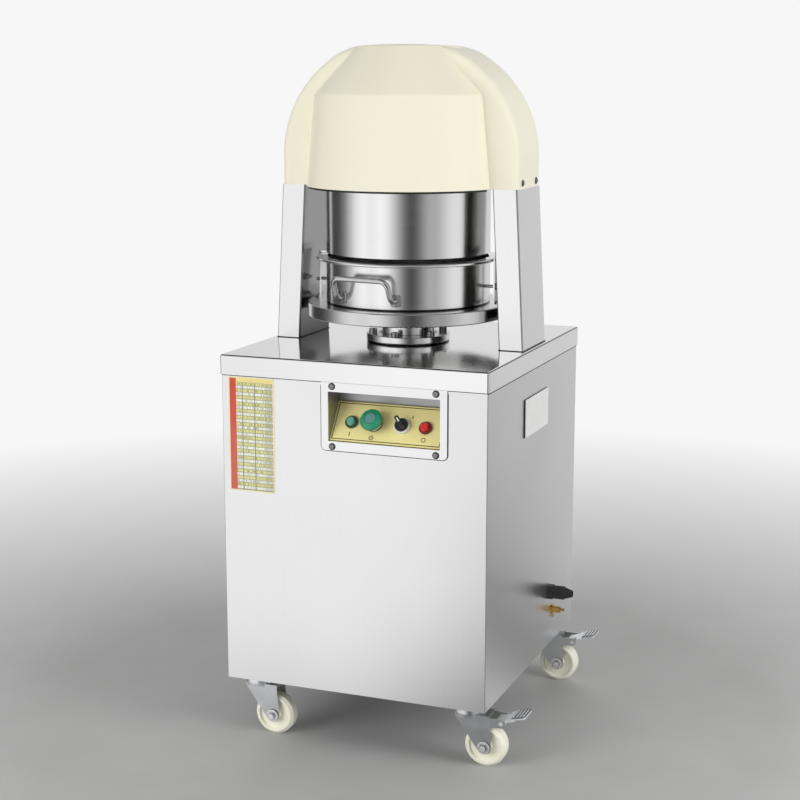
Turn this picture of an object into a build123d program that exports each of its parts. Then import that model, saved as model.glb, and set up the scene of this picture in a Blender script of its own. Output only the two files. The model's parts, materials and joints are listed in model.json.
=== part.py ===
from build123d import *
from math import cos, hypot, radians, sin, tan
import os

# Floor-standing dough divider. Millimetres, +Z up, the front faces -Y,
# origin on the floor under the centre of the lift shaft.

# Cabinet
caster_height = 112
cabinet_width = 500
cabinet_depth = 548
cabinet_height = 568
sheet = 1.5
shell_tuck = 20
panel_edge_radius = 1.2
rear_lip = 22
lid_height = 36
lid_gap = 1
lid_edge_radius = 4
base_thickness = 6
deck_thickness = 12
post_leg = 40
post_thickness = 4
panel_gap = 0.5
vent_length = 70
vent_width = 7
vent_pitch = 20
vent_count = 6
vent_spacing = 180
vent_rise = 142

# Control recess
bezel_width = 234
bezel_height = 121
bezel_thickness = 2
bezel_radius = 8
bezel_center_x = 61
bezel_drop = 0.5
bezel_screw_inset_x = 20.5
bezel_screw_inset_z = 7
window_width = 208
window_height = 88
box_depth = 52
plate_tilt = 36
plate_length = 76
plate_thickness = 2
plate_gap = 0.4
control_hole_radius = 8.2
control_up = -2
control_body_depth = 16
control_body_gap = 0.2
control_stem_depth = 8
lamp_offsets = {"lamp_green": -69, "lamp_red": 69}
lamp_radius = 8.5
lamp_ring_width = 3.2
lamp_ring_height = 4
lamp_lens_height = 10
lamp_dome = 2
lamp_dome_radius = 6
start_offset = -27
start_stem_radius = 5
start_collar_width = 6.5
start_collar_height = 7
start_head_radius = 20
start_head_height = 11
start_head_bevel = 2
start_head_dome = 5
start_head_flat_radius = 11
start_clearance = 1
start_travel = 6
selector_offset = 26
selector_stem_radius = 5
selector_ring_radius = 14.5
selector_ring_height = 6
selector_knob_radius = 12
selector_base_height = 3
selector_grip_height = 11
selector_grip_width = 8
selector_pointer = 3
selector_rest_angle = 42
ring_bevel = 1
stem_fit = 0.08

# Columns, pillars and bridge
column_height = 288
column_width = 46
column_depth = 138
column_inner_base = 197
column_back = 11
column_lean = 15
column_wall = 1.5
column_radius = 3
pillar_width = 33
pillar_depth = 100
pillar_slot_gap = 1.5
bridge_rise = 103
bridge_height = 35
bridge_bevel = 9
bridge_half_length = 204

# Hood
hood_wall = 3
hood_overhang = 1
hood_side_height = 53
hood_lower_radius = 206
hood_lower_angle = 43
hood_middle_radius = 242
hood_middle_angle = 14
hood_upper_radius = 127
hood_upper_angle = 30
hood_edge_radius = 14
hood_drum_radius = 187
hood_drum_height = 165
hood_shoulder_radius = 172
hood_top_radius = 96
hood_roof_height = 250
hood_crown = 3
hood_crease_radius = 8

# Lift platform and its shaft
flange_seat = 3
flange_height = 12
lower_flange_radius = 77
upper_flange_radius = 78
flange_edge_radius = 1.2
bolt_ring_radius = 66
flange_bolt_count = 6
bolt_head_radius = 7.5
bolt_head_height = 8
bolt_socket_radius = 4
bolt_socket_depth = 4
shaft_radius = 49
shaft_wall = 9
shaft_foot = 18
shaft_drop = 190
bush_wall = 6
bush_drop = 70
running_fit = 0.08
tray_underside = 50
tray_height = 24
tray_radius = 187
tray_plate = 8
tray_wall = 5
tray_edge_radius = 2

# Pan and its clamps
pan_inner_radius = 150
pan_wall = 2
pan_floor = 3
pan_height = 85
rim_radius = 167
rim_bead = 3
clamp_width = 30
clamp_thickness = 3
clamp_gap = 1
hook_reach = 14
hook_gap = 0.4
foot_length = 9
wing_height = 34
wing_screw_radius = 3
wing_hub_radius = 6
wing_span = 27
wing_width = 6
wing_depth = 4.5
foot_screw_radius = 4
foot_screw_height = 3
handle_turn = -8.5
handle_half_width = 56
handle_bar_radius = 5
handle_foot_height = 19
handle_rise = 38
handle_reach = 32
handle_bend = 15
foot_plate_width = 18
foot_plate_height = 22
foot_plate_radius = 5
foot_plate_thickness = 3

# Knife head
lift_travel = 82
sleeve_gap = 8
knife_recess = 2
knife_length = 112
knife_thickness = 1.6
knife_bevel = 4
knife_radius = 149
cell_counts = (6, 12, 18)
carrier_thickness = 14
hub_radius = 30
press_thickness = 12
press_gap = 0.8
press_recess = 0.5
rod_size = 8
rod_gap = 0.5
pressure_radius = 138
pressure_thickness = 10
sleeve_lip_radius = 142
sleeve_lip = 3
seat_gap = 0.3

# Lift drive inside the cabinet
screw_radius = 20
screw_length = 262
screw_bevel = 3
screw_gap = 0.3
gearbox_width = 150
gearbox_depth = 140
gearbox_height = 120
gearbox_corner = 15
gearbox_bevel = 5
gearbox_drop = 56
screw_boss_radius = 40
screw_boss_height = 20
stand_plate = 10
stand_hole_radius = 30
motor_flange_radius = 60
motor_flange = 12
motor_radius = 62
motor_clearance = 18.5
motor_fin_height = 7
motor_fin_width = 3
motor_fin_count = 18
fan_cover_length = 42
fan_cover_radius = 8
terminal_width = 70
terminal_length = 80
terminal_height = 31
guide_arm_height = 16
guide_arm_end = 18
guide_rod_radius = 9
guide_rod_x = -135
rail_x = -172
rail_width = 30
rail_thickness = 4
switch_height = 32
switch_depth = 20

# Right side fittings
gland_y = 108
gland_z = 221
gland_nut_radius = 15
gland_nut_height = 10.5
gland_body_radius = 13
gland_body_length = 21
gland_nose_radius = 12
gland_nose_length = 16.5
gland_nose_taper = 18
gland_bore = 5.5
stud_y = 134
stud_z = 178
stud_radius = 3
stud_length = 25
stud_washer_radius = 9
stud_washer_height = 1.5
stud_nut_radius = 7
stud_nut_height = 14
lug_eye_radius = 8
lug_width = 8
lug_length = 16
lug_thickness = 1.5

# Screws of the bezel and the hood
screw_head_radius = 5
screw_head_height = 2.5
screw_head_taper = 30
hood_screw_rise = 10.5
hood_screw_spacing = 81

# Casters
caster_inset = 44
caster_plate_length = 80
caster_plate_width = 64
caster_plate_thickness = 3
caster_plate_corner = 6
caster_bolt_spacing_x = 62
caster_bolt_spacing_y = 46
caster_bolt_radius = 6.5
caster_bolt_height = 5
race_radius = 26
race_height = 12
race_taper = 8
swivel_gap = 0.3
crown_thickness = 5
fork_thickness = 3
fork_gap = 16
fork_back = 20
fork_front = 42
trail = 34
wheel_radius = 38
wheel_width = 27
wheel_hub_radius = 11
wheel_dish = 5
wheel_dish_slope = 2
wheel_rim = 8
wheel_shoulder = 5
axle_radius = 5
axle_boss_radius = 13
axle_head_radius = 8.5
axle_head_height = 5
pedal_pivot_x = 65
pedal_pivot_height = 86
pedal_boss_radius = 8
pedal_pin_radius = 4
pedal_sleeve_radius = 7
pedal_width = 26
pedal_heel = 8
pedal_step = 22
pedal_tread = 26
pedal_tread_width = 48
pedal_wing = 10.5
pedal_corner = 5
pedal_slope = 12
pedal_thickness = 3
pedal_rib_count = 4
pedal_rib_width = 2
pedal_rib_height = 1.2
pedal_rib_pitch = 6

# Levels and places worked out from the sizes above
cabinet_bottom = caster_height
lid_bottom = cabinet_bottom + cabinet_height
lid_top = lid_bottom + lid_height
hood_bottom = lid_top + column_height
deck_top = lid_top - sheet
deck_bottom = deck_top - deck_thickness
base_top = cabinet_bottom + base_thickness
inner_width = cabinet_width - 2 * sheet
lip_face = cabinet_depth / 2 - 2 * sheet
lid_width = cabinet_width + 2 * (lid_gap + sheet)
lid_depth = cabinet_depth + 2 * (lid_gap + sheet)
front = cabinet_depth / 2
flange_top = lid_top + flange_seat + flange_height
bush_radius = shaft_radius + running_fit + bush_wall
tray_bottom = lid_top + tray_underside
tray_top = tray_bottom + tray_height
shaft_bottom = lid_top - shaft_drop
pan_bottom = tray_top
pan_outer_radius = pan_inner_radius + pan_wall
rim_top = pan_bottom + pan_height
sleeve_bottom = rim_top + sleeve_gap
knife_bottom = sleeve_bottom + knife_recess
carrier_bottom = knife_bottom + knife_length
carrier_top = carrier_bottom + carrier_thickness
bridge_bottom = hood_bottom + bridge_rise
column_center = column_inner_base + column_width / 2
hood_half_width = column_inner_base + column_width - column_lean + hood_overhang

pieces = {}


def keep(name, builder):
    """Label a finished piece and file it under its node name."""
    builder.part.label = name
    pieces[name] = builder.part


def turn_round(builder, angle):
    """The same piece turned about the upright axis of the lift."""
    with BuildPart() as turned:
        add(builder.part, rotation=(0, 0, angle))
    return turned


def lean_direction(side):
    """Direction of a column's long axis: it leans inward as it rises."""
    return (-side * column_lean, 0, column_height)


def lean_length(rise):
    """Length along a leaning column for a given rise."""
    return rise * hypot(column_lean, column_height) / column_height


# Front panel with the control window, its upright edges rounded
window_center = (bezel_center_x, lid_bottom - bezel_drop - bezel_height / 2)
with BuildPart() as front_panel:
    with BuildSketch(Plane.XY.offset(cabinet_bottom)):
        with Locations((0, sheet / 2 - front)):
            Rectangle(cabinet_width, sheet)
    extrude(amount=cabinet_height + shell_tuck)
    fillet(front_panel.faces().sort_by(Axis.Y)[0].edges().filter_by(Axis.Z), panel_edge_radius)
    with BuildSketch(Plane.XZ.offset(front)):
        with Locations(window_center):
            Rectangle(window_width, window_height)
    extrude(amount=-2 * sheet, mode=Mode.SUBTRACT)
keep("front_panel", front_panel)

# Side panels, each with a lip folded in at the rear; the right one carries the cable and earth fittings
for side, side_name in ((-1, "left_side"), (1, "right_side")):
    with BuildPart() as side_panel:
        with BuildSketch(Plane.XY.offset(cabinet_bottom)):
            with Locations((side * (cabinet_width - sheet) / 2, sheet / 2)):
                Rectangle(sheet, cabinet_depth - sheet)
            with Locations((side * (cabinet_width - rear_lip) / 2, lip_face + sheet / 2)):
                Rectangle(rear_lip, sheet)
        extrude(amount=cabinet_height + shell_tuck)
        if side == 1:
            with BuildSketch(Plane.YZ.offset(cabinet_width / 2)):
                with Locations((gland_y, gland_z)):
                    Circle(gland_bore)
                with Locations((stud_y, stud_z)):
                    Circle(stud_radius)
            extrude(amount=-2 * sheet, mode=Mode.SUBTRACT)
    keep(side_name, side_panel)

# Rear service panel with two banks of vent slots
with BuildPart() as rear_panel:
    with BuildSketch(Plane.XZ.offset(-front)):
        with Locations((0, cabinet_bottom + cabinet_height / 2)):
            Rectangle(inner_width - 2 * panel_gap, cabinet_height - 2 * panel_gap)
        with Locations((0, cabinet_bottom + vent_rise)):
            with GridLocations(vent_spacing, vent_pitch, 2, vent_count):
                SlotOverall(vent_length, vent_width, mode=Mode.SUBTRACT)
    extrude(amount=sheet)
keep("rear_panel", rear_panel)

# Base plate that carries the drive and the casters
with BuildPart() as base_plate:
    with BuildSketch(Plane.XY.offset(cabinet_bottom)):
        Rectangle(inner_width, 2 * lip_face)
    extrude(amount=base_thickness)
keep("base_plate", base_plate)

# Four angle posts between the base plate and the deck plate
with BuildPart() as corner_posts:
    with BuildSketch(Plane.XY.offset(base_top)):
        for side in (-1, 1):
            for end in (-1, 1):
                with Locations((side * (inner_width - post_leg) / 2, end * (lip_face - post_thickness / 2))):
                    Rectangle(post_leg, post_thickness)
                with Locations((side * (inner_width - post_thickness) / 2, end * (lip_face - post_leg / 2))):
                    Rectangle(post_thickness, post_leg)
    extrude(amount=deck_bottom - base_top)
keep("corner_posts", corner_posts)

# Deck plate under the lid: it holds the shaft guide and the pillars
with BuildPart() as deck_plate:
    with BuildSketch(Plane.XY.offset(deck_bottom)):
        Rectangle(inner_width, 2 * lip_face)
        Circle(bush_radius, mode=Mode.SUBTRACT)
    extrude(amount=deck_thickness)
keep("deck_plate", deck_plate)

# Lid: a folded tray turned over, with openings for the shaft guide and the pillars
with BuildPart() as top_lid:
    with BuildSketch(Plane.XY.offset(lid_bottom)):
        Rectangle(lid_width, lid_depth)
    extrude(amount=lid_height)
    fillet(top_lid.edges().filter_by(Axis.Z), lid_edge_radius)
    fillet(top_lid.faces().sort_by(Axis.Z)[-1].edges(), lid_edge_radius)
    offset(amount=-sheet, openings=top_lid.faces().sort_by(Axis.Z)[0])
    with BuildSketch(Plane.XY.offset(lid_top)):
        Circle(bush_radius)
        with Locations((-column_center, column_back), (column_center, column_back)):
            Rectangle(pillar_width + 2 * pillar_slot_gap, pillar_depth + 2 * pillar_slot_gap)
    extrude(amount=-2 * sheet, mode=Mode.SUBTRACT)
keep("top_lid", top_lid)

# Bezel round the control window
with BuildPart() as control_bezel:
    with BuildSketch(Plane.XZ.offset(front)) as bezel_face:
        with Locations(window_center):
            Rectangle(bezel_width, bezel_height)
        fillet(bezel_face.vertices().group_by(Axis.Y)[0], bezel_radius)
        with Locations(window_center):
            Rectangle(window_width, window_height, mode=Mode.SUBTRACT)
    extrude(amount=bezel_thickness)
keep("control_bezel", control_bezel)

# Sheet box behind the window
box_front = front - sheet
with BuildPart() as control_box:
    with BuildSketch(Plane.XZ.offset(box_front)):
        with Locations(window_center):
            Rectangle(window_width + 2 * sheet, window_height + 2 * sheet)
    extrude(amount=-box_depth)
    with BuildSketch(Plane.XZ.offset(box_front)):
        with Locations(window_center):
            Rectangle(window_width, window_height)
    extrude(amount=sheet - box_depth, mode=Mode.SUBTRACT)
keep("control_box", control_box)

# Inclined control plate: its face leans back from the window's lower edge
tilt = radians(plate_tilt)
plate_bottom_z = window_center[1] - window_height / 2 + plate_thickness * sin(tilt) + plate_gap
plate_bottom_y = -box_front + plate_gap
plate_face = Plane(
    origin=(
        bezel_center_x,
        plate_bottom_y + plate_length / 2 * sin(tilt),
        plate_bottom_z + plate_length / 2 * cos(tilt),
    ),
    x_dir=(1, 0, 0),
    z_dir=(0, -cos(tilt), sin(tilt)),
)
control_places = [(x, control_up) for x in (*lamp_offsets.values(), start_offset, selector_offset)]
with BuildPart() as control_plate:
    with BuildSketch(plate_face):
        Rectangle(window_width - 2 * plate_gap, plate_length)
        with Locations(*control_places):
            Circle(control_hole_radius, mode=Mode.SUBTRACT)
    extrude(amount=-plate_thickness)
keep("control_plate", control_plate)


plate_axis = Axis(plate_face.origin, plate_face.z_dir)


def control_plane(offset_x):
    """Plane on the control plate's face, centred on one control, with its local Y as the turning axis."""
    center = plate_face.from_local_coords((offset_x, control_up, 0))
    return Plane(origin=center, x_dir=(1, 0, 0), z_dir=plate_face.y_dir)


def turned_part(offset_x, outline):
    """Solid of revolution about a control's own axis; the outline is radius and height above the plate."""
    section = control_plane(offset_x)
    axis = Axis(section.origin, plate_face.z_dir)
    with BuildPart() as turned:
        with BuildSketch(section):
            with BuildLine():
                Polyline(*[(radius, -height) for radius, height in outline], close=True)
            make_face()
        revolve(axis=axis)
    return turned


# Pilot lamps: a ring on the plate, a low domed lens and a body behind
body_radius = control_hole_radius - control_body_gap
for lamp_name, lamp_x in lamp_offsets.items():
    lamp = turned_part(
        lamp_x,
        [
            (0, -control_body_depth),
            (body_radius, -control_body_depth),
            (body_radius, 0),
            (lamp_radius + lamp_ring_width, 0),
            (lamp_radius + lamp_ring_width, lamp_ring_height),
            (lamp_radius, lamp_ring_height),
            (lamp_radius - ring_bevel, lamp_lens_height - lamp_dome),
            (lamp_dome_radius, lamp_lens_height),
            (0, lamp_lens_height),
        ],
    )
    keep(lamp_name, lamp)

# Start button: collar with the switch body behind the plate, and the mushroom that slides in it
head_base = start_collar_height + start_travel + start_clearance
head_top = head_base + start_head_height
collar_radius = control_hole_radius + start_collar_width
start_collar = turned_part(
    start_offset,
    [
        (start_stem_radius + stem_fit, -control_body_depth),
        (body_radius, -control_body_depth),
        (body_radius, 0),
        (collar_radius, 0),
        (collar_radius, start_collar_height - ring_bevel),
        (collar_radius - ring_bevel, start_collar_height),
        (start_stem_radius + stem_fit, start_collar_height),
    ],
)
keep("start_collar", start_collar)
start_button = turned_part(
    start_offset,
    [
        (0, -control_stem_depth),
        (start_stem_radius, -control_stem_depth),
        (start_stem_radius, head_base),
        (start_head_radius - start_head_bevel, head_base),
        (start_head_radius, head_base + start_head_bevel),
        (start_head_radius, head_top - start_head_dome),
        (start_head_radius - start_head_bevel, head_top - start_head_dome / 2),
        (start_head_flat_radius, head_top),
        (0, head_top),
    ],
)
keep("start_button", start_button)

# Selector: pale ring with the switch body behind, and the knob with its raised grip
selector_ring = turned_part(
    selector_offset,
    [
        (selector_stem_radius + stem_fit, -control_body_depth),
        (body_radius, -control_body_depth),
        (body_radius, 0),
        (selector_ring_radius, 0),
        (selector_ring_radius, selector_ring_height - ring_bevel),
        (selector_ring_radius - ring_bevel, selector_ring_height),
        (selector_stem_radius + stem_fit, selector_ring_height),
    ],
)
keep("selector_ring", selector_ring)
knob_seat = selector_ring_height + seat_gap
knob_center = plate_face.from_local_coords((selector_offset, control_up, knob_seat))
grip_angle = 90 + selector_rest_angle
grip_length = 2 * selector_knob_radius + selector_pointer - ring_bevel
grip_middle = (selector_pointer + ring_bevel) / 2
grip_shift = (grip_middle * cos(radians(grip_angle)), grip_middle * sin(radians(grip_angle)))
with BuildPart() as selector_knob:
    knob_plane = Plane(origin=knob_center, x_dir=(1, 0, 0), z_dir=plate_face.z_dir)
    with BuildSketch(knob_plane):
        Circle(selector_knob_radius)
    extrude(amount=selector_base_height)
    with BuildSketch(knob_plane):
        Circle(selector_stem_radius)
    extrude(amount=-knob_seat - control_stem_depth)
    with BuildSketch(knob_plane.offset(selector_base_height)):
        with Locations(Location(grip_shift, grip_angle)):
            SlotOverall(grip_length, selector_grip_width)
    extrude(amount=selector_grip_height)
    chamfer(selector_knob.faces().sort_by(plate_axis)[-1].edges(), ring_bevel)
keep("selector_knob", selector_knob)

# Columns: leaning box sections, open at both ends
for column_name, side in (("left_column", -1), ("right_column", 1)):
    with BuildPart() as column:
        with BuildSketch(Plane.XY.offset(lid_top)):
            with Locations((side * column_center, column_back)):
                RectangleRounded(column_width, column_depth, column_radius)
                RectangleRounded(
                    column_width - 2 * column_wall,
                    column_depth - 2 * column_wall,
                    column_radius - column_wall,
                    mode=Mode.SUBTRACT,
                )
        extrude(amount=lean_length(column_height), dir=lean_direction(side))
    keep(column_name, column)

# Steel pillars inside the columns, from the deck plate up to the bridge
pillar_foot = column_center + (lid_top - deck_top) * column_lean / column_height
with BuildPart() as pillars:
    for side in (-1, 1):
        with BuildSketch(Plane.XY.offset(deck_top)):
            with Locations((side * pillar_foot, column_back)):
                Rectangle(pillar_width, pillar_depth)
        extrude(amount=lean_length(bridge_bottom - deck_top), dir=lean_direction(side))
keep("pillars", pillars)

# Bridge beam across the pillars, with the ends bevelled under the hood
with BuildPart() as bridge_beam:
    with BuildSketch(Plane.XY.offset(bridge_bottom)):
        with Locations((0, column_back)):
            Rectangle(2 * bridge_half_length, pillar_depth)
    extrude(amount=bridge_height)
    chamfer(bridge_beam.faces().sort_by(Axis.Z)[-1].edges(), bridge_bevel)
keep("bridge_beam", bridge_beam)


def hood_form(inset):
    """Solid hood shape, drawn in by inset all round: an arch over the columns and a drum with a cone roof."""
    half_width = hood_half_width - inset
    half_depth = column_depth / 2 - inset
    foot = -inset
    with BuildPart() as form:
        with BuildSketch(Plane.XZ.offset(-column_back)):
            with BuildLine():
                wall = Line((half_width, foot), (half_width, hood_side_height))
                lower = JernArc(wall @ 1, (0, 1), hood_lower_radius - inset, hood_lower_angle)
                middle = JernArc(lower @ 1, lower % 1, hood_middle_radius - inset, hood_middle_angle)
                upper = JernArc(middle @ 1, middle % 1, hood_upper_radius - inset, hood_upper_angle)
                crown_angle = 90 - hood_lower_angle - hood_middle_angle - hood_upper_angle
                crown_radius = (upper @ 1).X / sin(radians(crown_angle))
                crown = JernArc(upper @ 1, upper % 1, crown_radius, crown_angle)
                top = Line(crown @ 1, (0, foot))
                Line(top @ 1, wall @ 0)
            make_face()
            mirror(about=Plane.YZ)
        extrude(amount=half_depth, both=True)
        for arch_face in (form.faces().sort_by(Axis.Y)[0], form.faces().sort_by(Axis.Y)[-1]):
            arch_edges = arch_face.edges().sort_by(Axis.Z)[1:]
            fillet(arch_edges, hood_edge_radius - inset)
        with BuildSketch(Plane.XZ):
            with BuildLine():
                Polyline(
                    (0, foot),
                    (hood_drum_radius - inset, foot),
                    (hood_shoulder_radius - inset, hood_drum_height - inset / 2),
                    (hood_top_radius - inset / 2, hood_roof_height - inset),
                    (0, hood_roof_height + hood_crown - inset),
                    close=True,
                )
            outline = make_face()
            crease = outline.vertices().group_by(Axis.X)[-2]
            fillet(crease, hood_crease_radius)
        revolve(axis=Axis.Z)
    return form.part


# Hood: a thin shell of that form, open below
with BuildPart() as hood:
    with Locations((0, 0, hood_bottom)):
        add(hood_form(0))
        add(hood_form(hood_wall), mode=Mode.SUBTRACT)
keep("hood", hood)

# Sleeve: the steel cylinder under the hood, hung by its inner lip on the knife carrier
sleeve_top = carrier_top + seat_gap + sleeve_lip
with BuildPart() as sleeve:
    with BuildSketch(Plane.XZ):
        with BuildLine():
            Polyline(
                (pan_inner_radius, sleeve_bottom),
                (pan_outer_radius, sleeve_bottom),
                (pan_outer_radius, sleeve_top),
                (sleeve_lip_radius, sleeve_top),
                (sleeve_lip_radius, sleeve_top - sleeve_lip),
                (pan_inner_radius, sleeve_top - sleeve_lip),
                close=True,
            )
        make_face()
    revolve(axis=Axis.Z)
keep("sleeve", sleeve)

# Ring radii that give every cell of the knife grid the same area
cell_total = sum(cell_counts)
ring_radii = [0]
for cell_index in range(len(cell_counts)):
    inner_cells = sum(cell_counts[: cell_index + 1])
    ring_radii.append(knife_radius * (inner_cells / cell_total) ** 0.5)


def blade_profile(middle):
    """Blade section: a strip with a ground edge at its foot, centred on the given position."""
    half = knife_thickness / 2
    return [
        (middle, knife_bottom),
        (middle + half, knife_bottom + knife_bevel),
        (middle + half, carrier_bottom),
        (middle - half, carrier_bottom),
        (middle - half, knife_bottom + knife_bevel),
    ]


# Knife grid: ring blades and radial blades with ground lower edges
with BuildPart() as knife_grid:
    for ring_radius in ring_radii[1:-1]:
        with BuildSketch(Plane.XZ):
            with BuildLine():
                Polyline(*blade_profile(ring_radius), close=True)
            make_face()
        revolve(axis=Axis.Z)
    for cells, inner_radius, outer_radius in zip(cell_counts, ring_radii, ring_radii[1:]):
        for blade_index in range(cells):
            angle = radians(360 * blade_index / cells)
            outward = Vector(cos(angle), sin(angle), 0)
            sideways = Vector(0, 0, 1).cross(outward)
            with BuildSketch(Plane(origin=outward * inner_radius, x_dir=sideways, z_dir=outward)):
                with BuildLine():
                    Polyline(*blade_profile(0), close=True)
                make_face()
            extrude(amount=outer_radius - inner_radius)
keep("knife_grid", knife_grid)


def rod_places():
    """Centre of each cell, where its press rod stands, with the direction of its square sides."""
    places = []
    for cells, inner_radius, outer_radius in zip(cell_counts, ring_radii, ring_radii[1:]):
        reach = max((inner_radius + outer_radius) / 2, hub_radius + rod_size + 2 * rod_gap)
        for cell_index in range(cells):
            turn = 360 * (cell_index + 0.5) / cells
            place = (reach * cos(radians(turn)), reach * sin(radians(turn)))
            places.append(Location(place, turn))
    return places


# Knife carrier: the disc that the blades hang from, with its hub up to the bridge
with BuildPart() as knife_carrier:
    with BuildSketch(Plane.XY.offset(carrier_bottom)):
        Circle(knife_radius)
        with Locations(*rod_places()):
            Rectangle(rod_size + 2 * rod_gap, rod_size + 2 * rod_gap, mode=Mode.SUBTRACT)
    extrude(amount=carrier_thickness)
    with BuildSketch(Plane.XY.offset(carrier_top)):
        Circle(hub_radius)
    extrude(amount=bridge_bottom - carrier_top)
keep("knife_carrier", knife_carrier)

# Press plates: one in each cell, each on its own square rod
press_bottom = knife_bottom + press_recess
pressure_bottom = carrier_top + seat_gap
with BuildPart() as press_plates:
    strip = knife_thickness + 2 * press_gap
    for cells, inner_radius, outer_radius in zip(cell_counts, ring_radii, ring_radii[1:]):
        with BuildSketch(Plane.XY.offset(press_bottom)):
            Circle(outer_radius - strip / 2)
            if inner_radius > 0:
                Circle(inner_radius + strip / 2, mode=Mode.SUBTRACT)
            with PolarLocations(0, cells):
                Rectangle(2 * outer_radius, strip, align=(Align.MIN, Align.CENTER), mode=Mode.SUBTRACT)
        extrude(amount=press_thickness)
    with BuildSketch(Plane.XY.offset(press_bottom + press_thickness)):
        with Locations(*rod_places()):
            Rectangle(rod_size, rod_size)
    extrude(amount=pressure_bottom - press_bottom - press_thickness)
keep("press_plates", press_plates)

# Pressure plate that ties the rods together above the carrier
with BuildPart() as pressure_plate:
    with BuildSketch(Plane.XY.offset(pressure_bottom)):
        Circle(pressure_radius)
        Circle(hub_radius + rod_gap, mode=Mode.SUBTRACT)
    extrude(amount=pressure_thickness)
keep("pressure_plate", pressure_plate)

# Flanges that hold the shaft guide on the lid
for flange_name, flange_radius, flange_level, flange_layer in (
    ("lower_flange", lower_flange_radius, lid_top, flange_seat),
    ("upper_flange", upper_flange_radius, lid_top + flange_seat, flange_height),
):
    with BuildPart() as flange:
        with BuildSketch(Plane.XY.offset(flange_level)):
            Circle(flange_radius)
            Circle(bush_radius, mode=Mode.SUBTRACT)
        extrude(amount=flange_layer)
        outer_edges = flange.edges().filter_by(GeomType.CIRCLE).group_by(SortBy.RADIUS)[-1]
        fillet(outer_edges, flange_edge_radius)
    keep(flange_name, flange)

# Cap screws on the upper flange
with BuildPart() as flange_bolts:
    with BuildSketch(Plane.XY.offset(flange_top)):
        with PolarLocations(bolt_ring_radius, flange_bolt_count, start_angle=180 / flange_bolt_count):
            Circle(bolt_head_radius)
    extrude(amount=bolt_head_height)
    with BuildSketch(Plane.XY.offset(flange_top + bolt_head_height)):
        with PolarLocations(bolt_ring_radius, flange_bolt_count, start_angle=180 / flange_bolt_count):
            RegularPolygon(bolt_socket_radius, 6)
    extrude(amount=-bolt_socket_depth, mode=Mode.SUBTRACT)
keep("flange_bolts", flange_bolts)

# Guide bush of the lift shaft
with BuildPart() as guide_bush:
    with BuildSketch(Plane.XY.offset(lid_top - bush_drop)):
        Circle(bush_radius)
        Circle(shaft_radius + running_fit, mode=Mode.SUBTRACT)
    extrude(amount=flange_top - lid_top + bush_drop)
keep("guide_bush", guide_bush)

# Lift platform: a turned plate with a deep skirt
with BuildPart() as tray:
    with BuildSketch(Plane.XZ):
        with BuildLine():
            Polyline(
                (0, tray_top),
                (tray_radius, tray_top),
                (tray_radius, tray_bottom),
                (tray_radius - tray_wall, tray_bottom),
                (tray_radius - tray_wall, tray_top - tray_plate),
                (0, tray_top - tray_plate),
                close=True,
            )
        tray_outline = make_face()
        fillet(tray_outline.vertices().group_by(Axis.X)[-1], tray_edge_radius)
    revolve(axis=Axis.Z)
keep("tray", tray)

# Lift shaft: a hollow ram with a closed foot
with BuildPart() as lift_shaft:
    with BuildSketch(Plane.XY.offset(shaft_bottom)):
        Circle(shaft_radius)
    extrude(amount=tray_top - tray_plate - shaft_bottom)
    with BuildSketch(Plane.XY.offset(tray_top - tray_plate)):
        Circle(shaft_radius - shaft_wall)
    extrude(amount=shaft_bottom + shaft_foot - tray_top + tray_plate, mode=Mode.SUBTRACT)
keep("lift_shaft", lift_shaft)

# Lift screw below the shaft
with BuildPart() as lift_screw:
    with BuildSketch(Plane.XY.offset(shaft_bottom - screw_length)):
        Circle(screw_radius)
    extrude(amount=screw_length)
    chamfer(lift_screw.faces().sort_by(Axis.Z)[0].edges(), screw_bevel)
keep("lift_screw", lift_screw)

# Guide arm on the shaft's foot, and the fixed rod that keeps it from turning
with BuildPart() as guide_arm:
    with BuildSketch(Plane.XY.offset(shaft_bottom - guide_arm_height)):
        Circle(shaft_radius)
        with Locations((guide_rod_x, 0)):
            Circle(guide_arm_end)
        make_hull()
        Circle(screw_radius, mode=Mode.SUBTRACT)
        with Locations((guide_rod_x, 0)):
            Circle(guide_rod_radius + running_fit, mode=Mode.SUBTRACT)
    extrude(amount=guide_arm_height)
keep("guide_arm", guide_arm)
with BuildPart() as guide_rod:
    with BuildSketch(Plane.XY.offset(base_top)):
        with Locations((guide_rod_x, 0)):
            Circle(guide_rod_radius)
    extrude(amount=deck_bottom - base_top)
keep("guide_rod", guide_rod)

# Limit switches on a rail beside the guide arm, one at each end of the travel
arm_middle = shaft_bottom - guide_arm_height / 2
with BuildPart() as limit_switches:
    with BuildSketch(Plane.XY.offset(base_top)):
        with Locations((rail_x, 0)):
            Rectangle(rail_thickness, rail_width)
    extrude(amount=deck_bottom - base_top)
    with BuildSketch(Plane.YZ.offset(rail_x - rail_thickness / 2)):
        with Locations((0, arm_middle), (0, arm_middle + lift_travel)):
            Rectangle(rail_width, switch_height)
    extrude(amount=-switch_depth)
keep("limit_switches", limit_switches)

# Screw jack gearbox with bosses above and below
gearbox_top = shaft_bottom - gearbox_drop
gearbox_bottom = gearbox_top - gearbox_height
with BuildPart() as jack_gearbox:
    with BuildSketch(Plane.XY.offset(gearbox_bottom)):
        RectangleRounded(gearbox_width, gearbox_depth, gearbox_corner)
    extrude(amount=gearbox_height)
    chamfer(jack_gearbox.faces().sort_by(Axis.Z)[-1].edges(), gearbox_bevel)
    with BuildSketch(Plane.XY.offset(gearbox_top)):
        Circle(screw_boss_radius)
    extrude(amount=screw_boss_height)
    with BuildSketch(Plane.XY.offset(gearbox_bottom)):
        Circle(screw_radius + screw_gap)
    extrude(amount=gearbox_height + screw_boss_height, mode=Mode.SUBTRACT)
keep("jack_gearbox", jack_gearbox)

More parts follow.
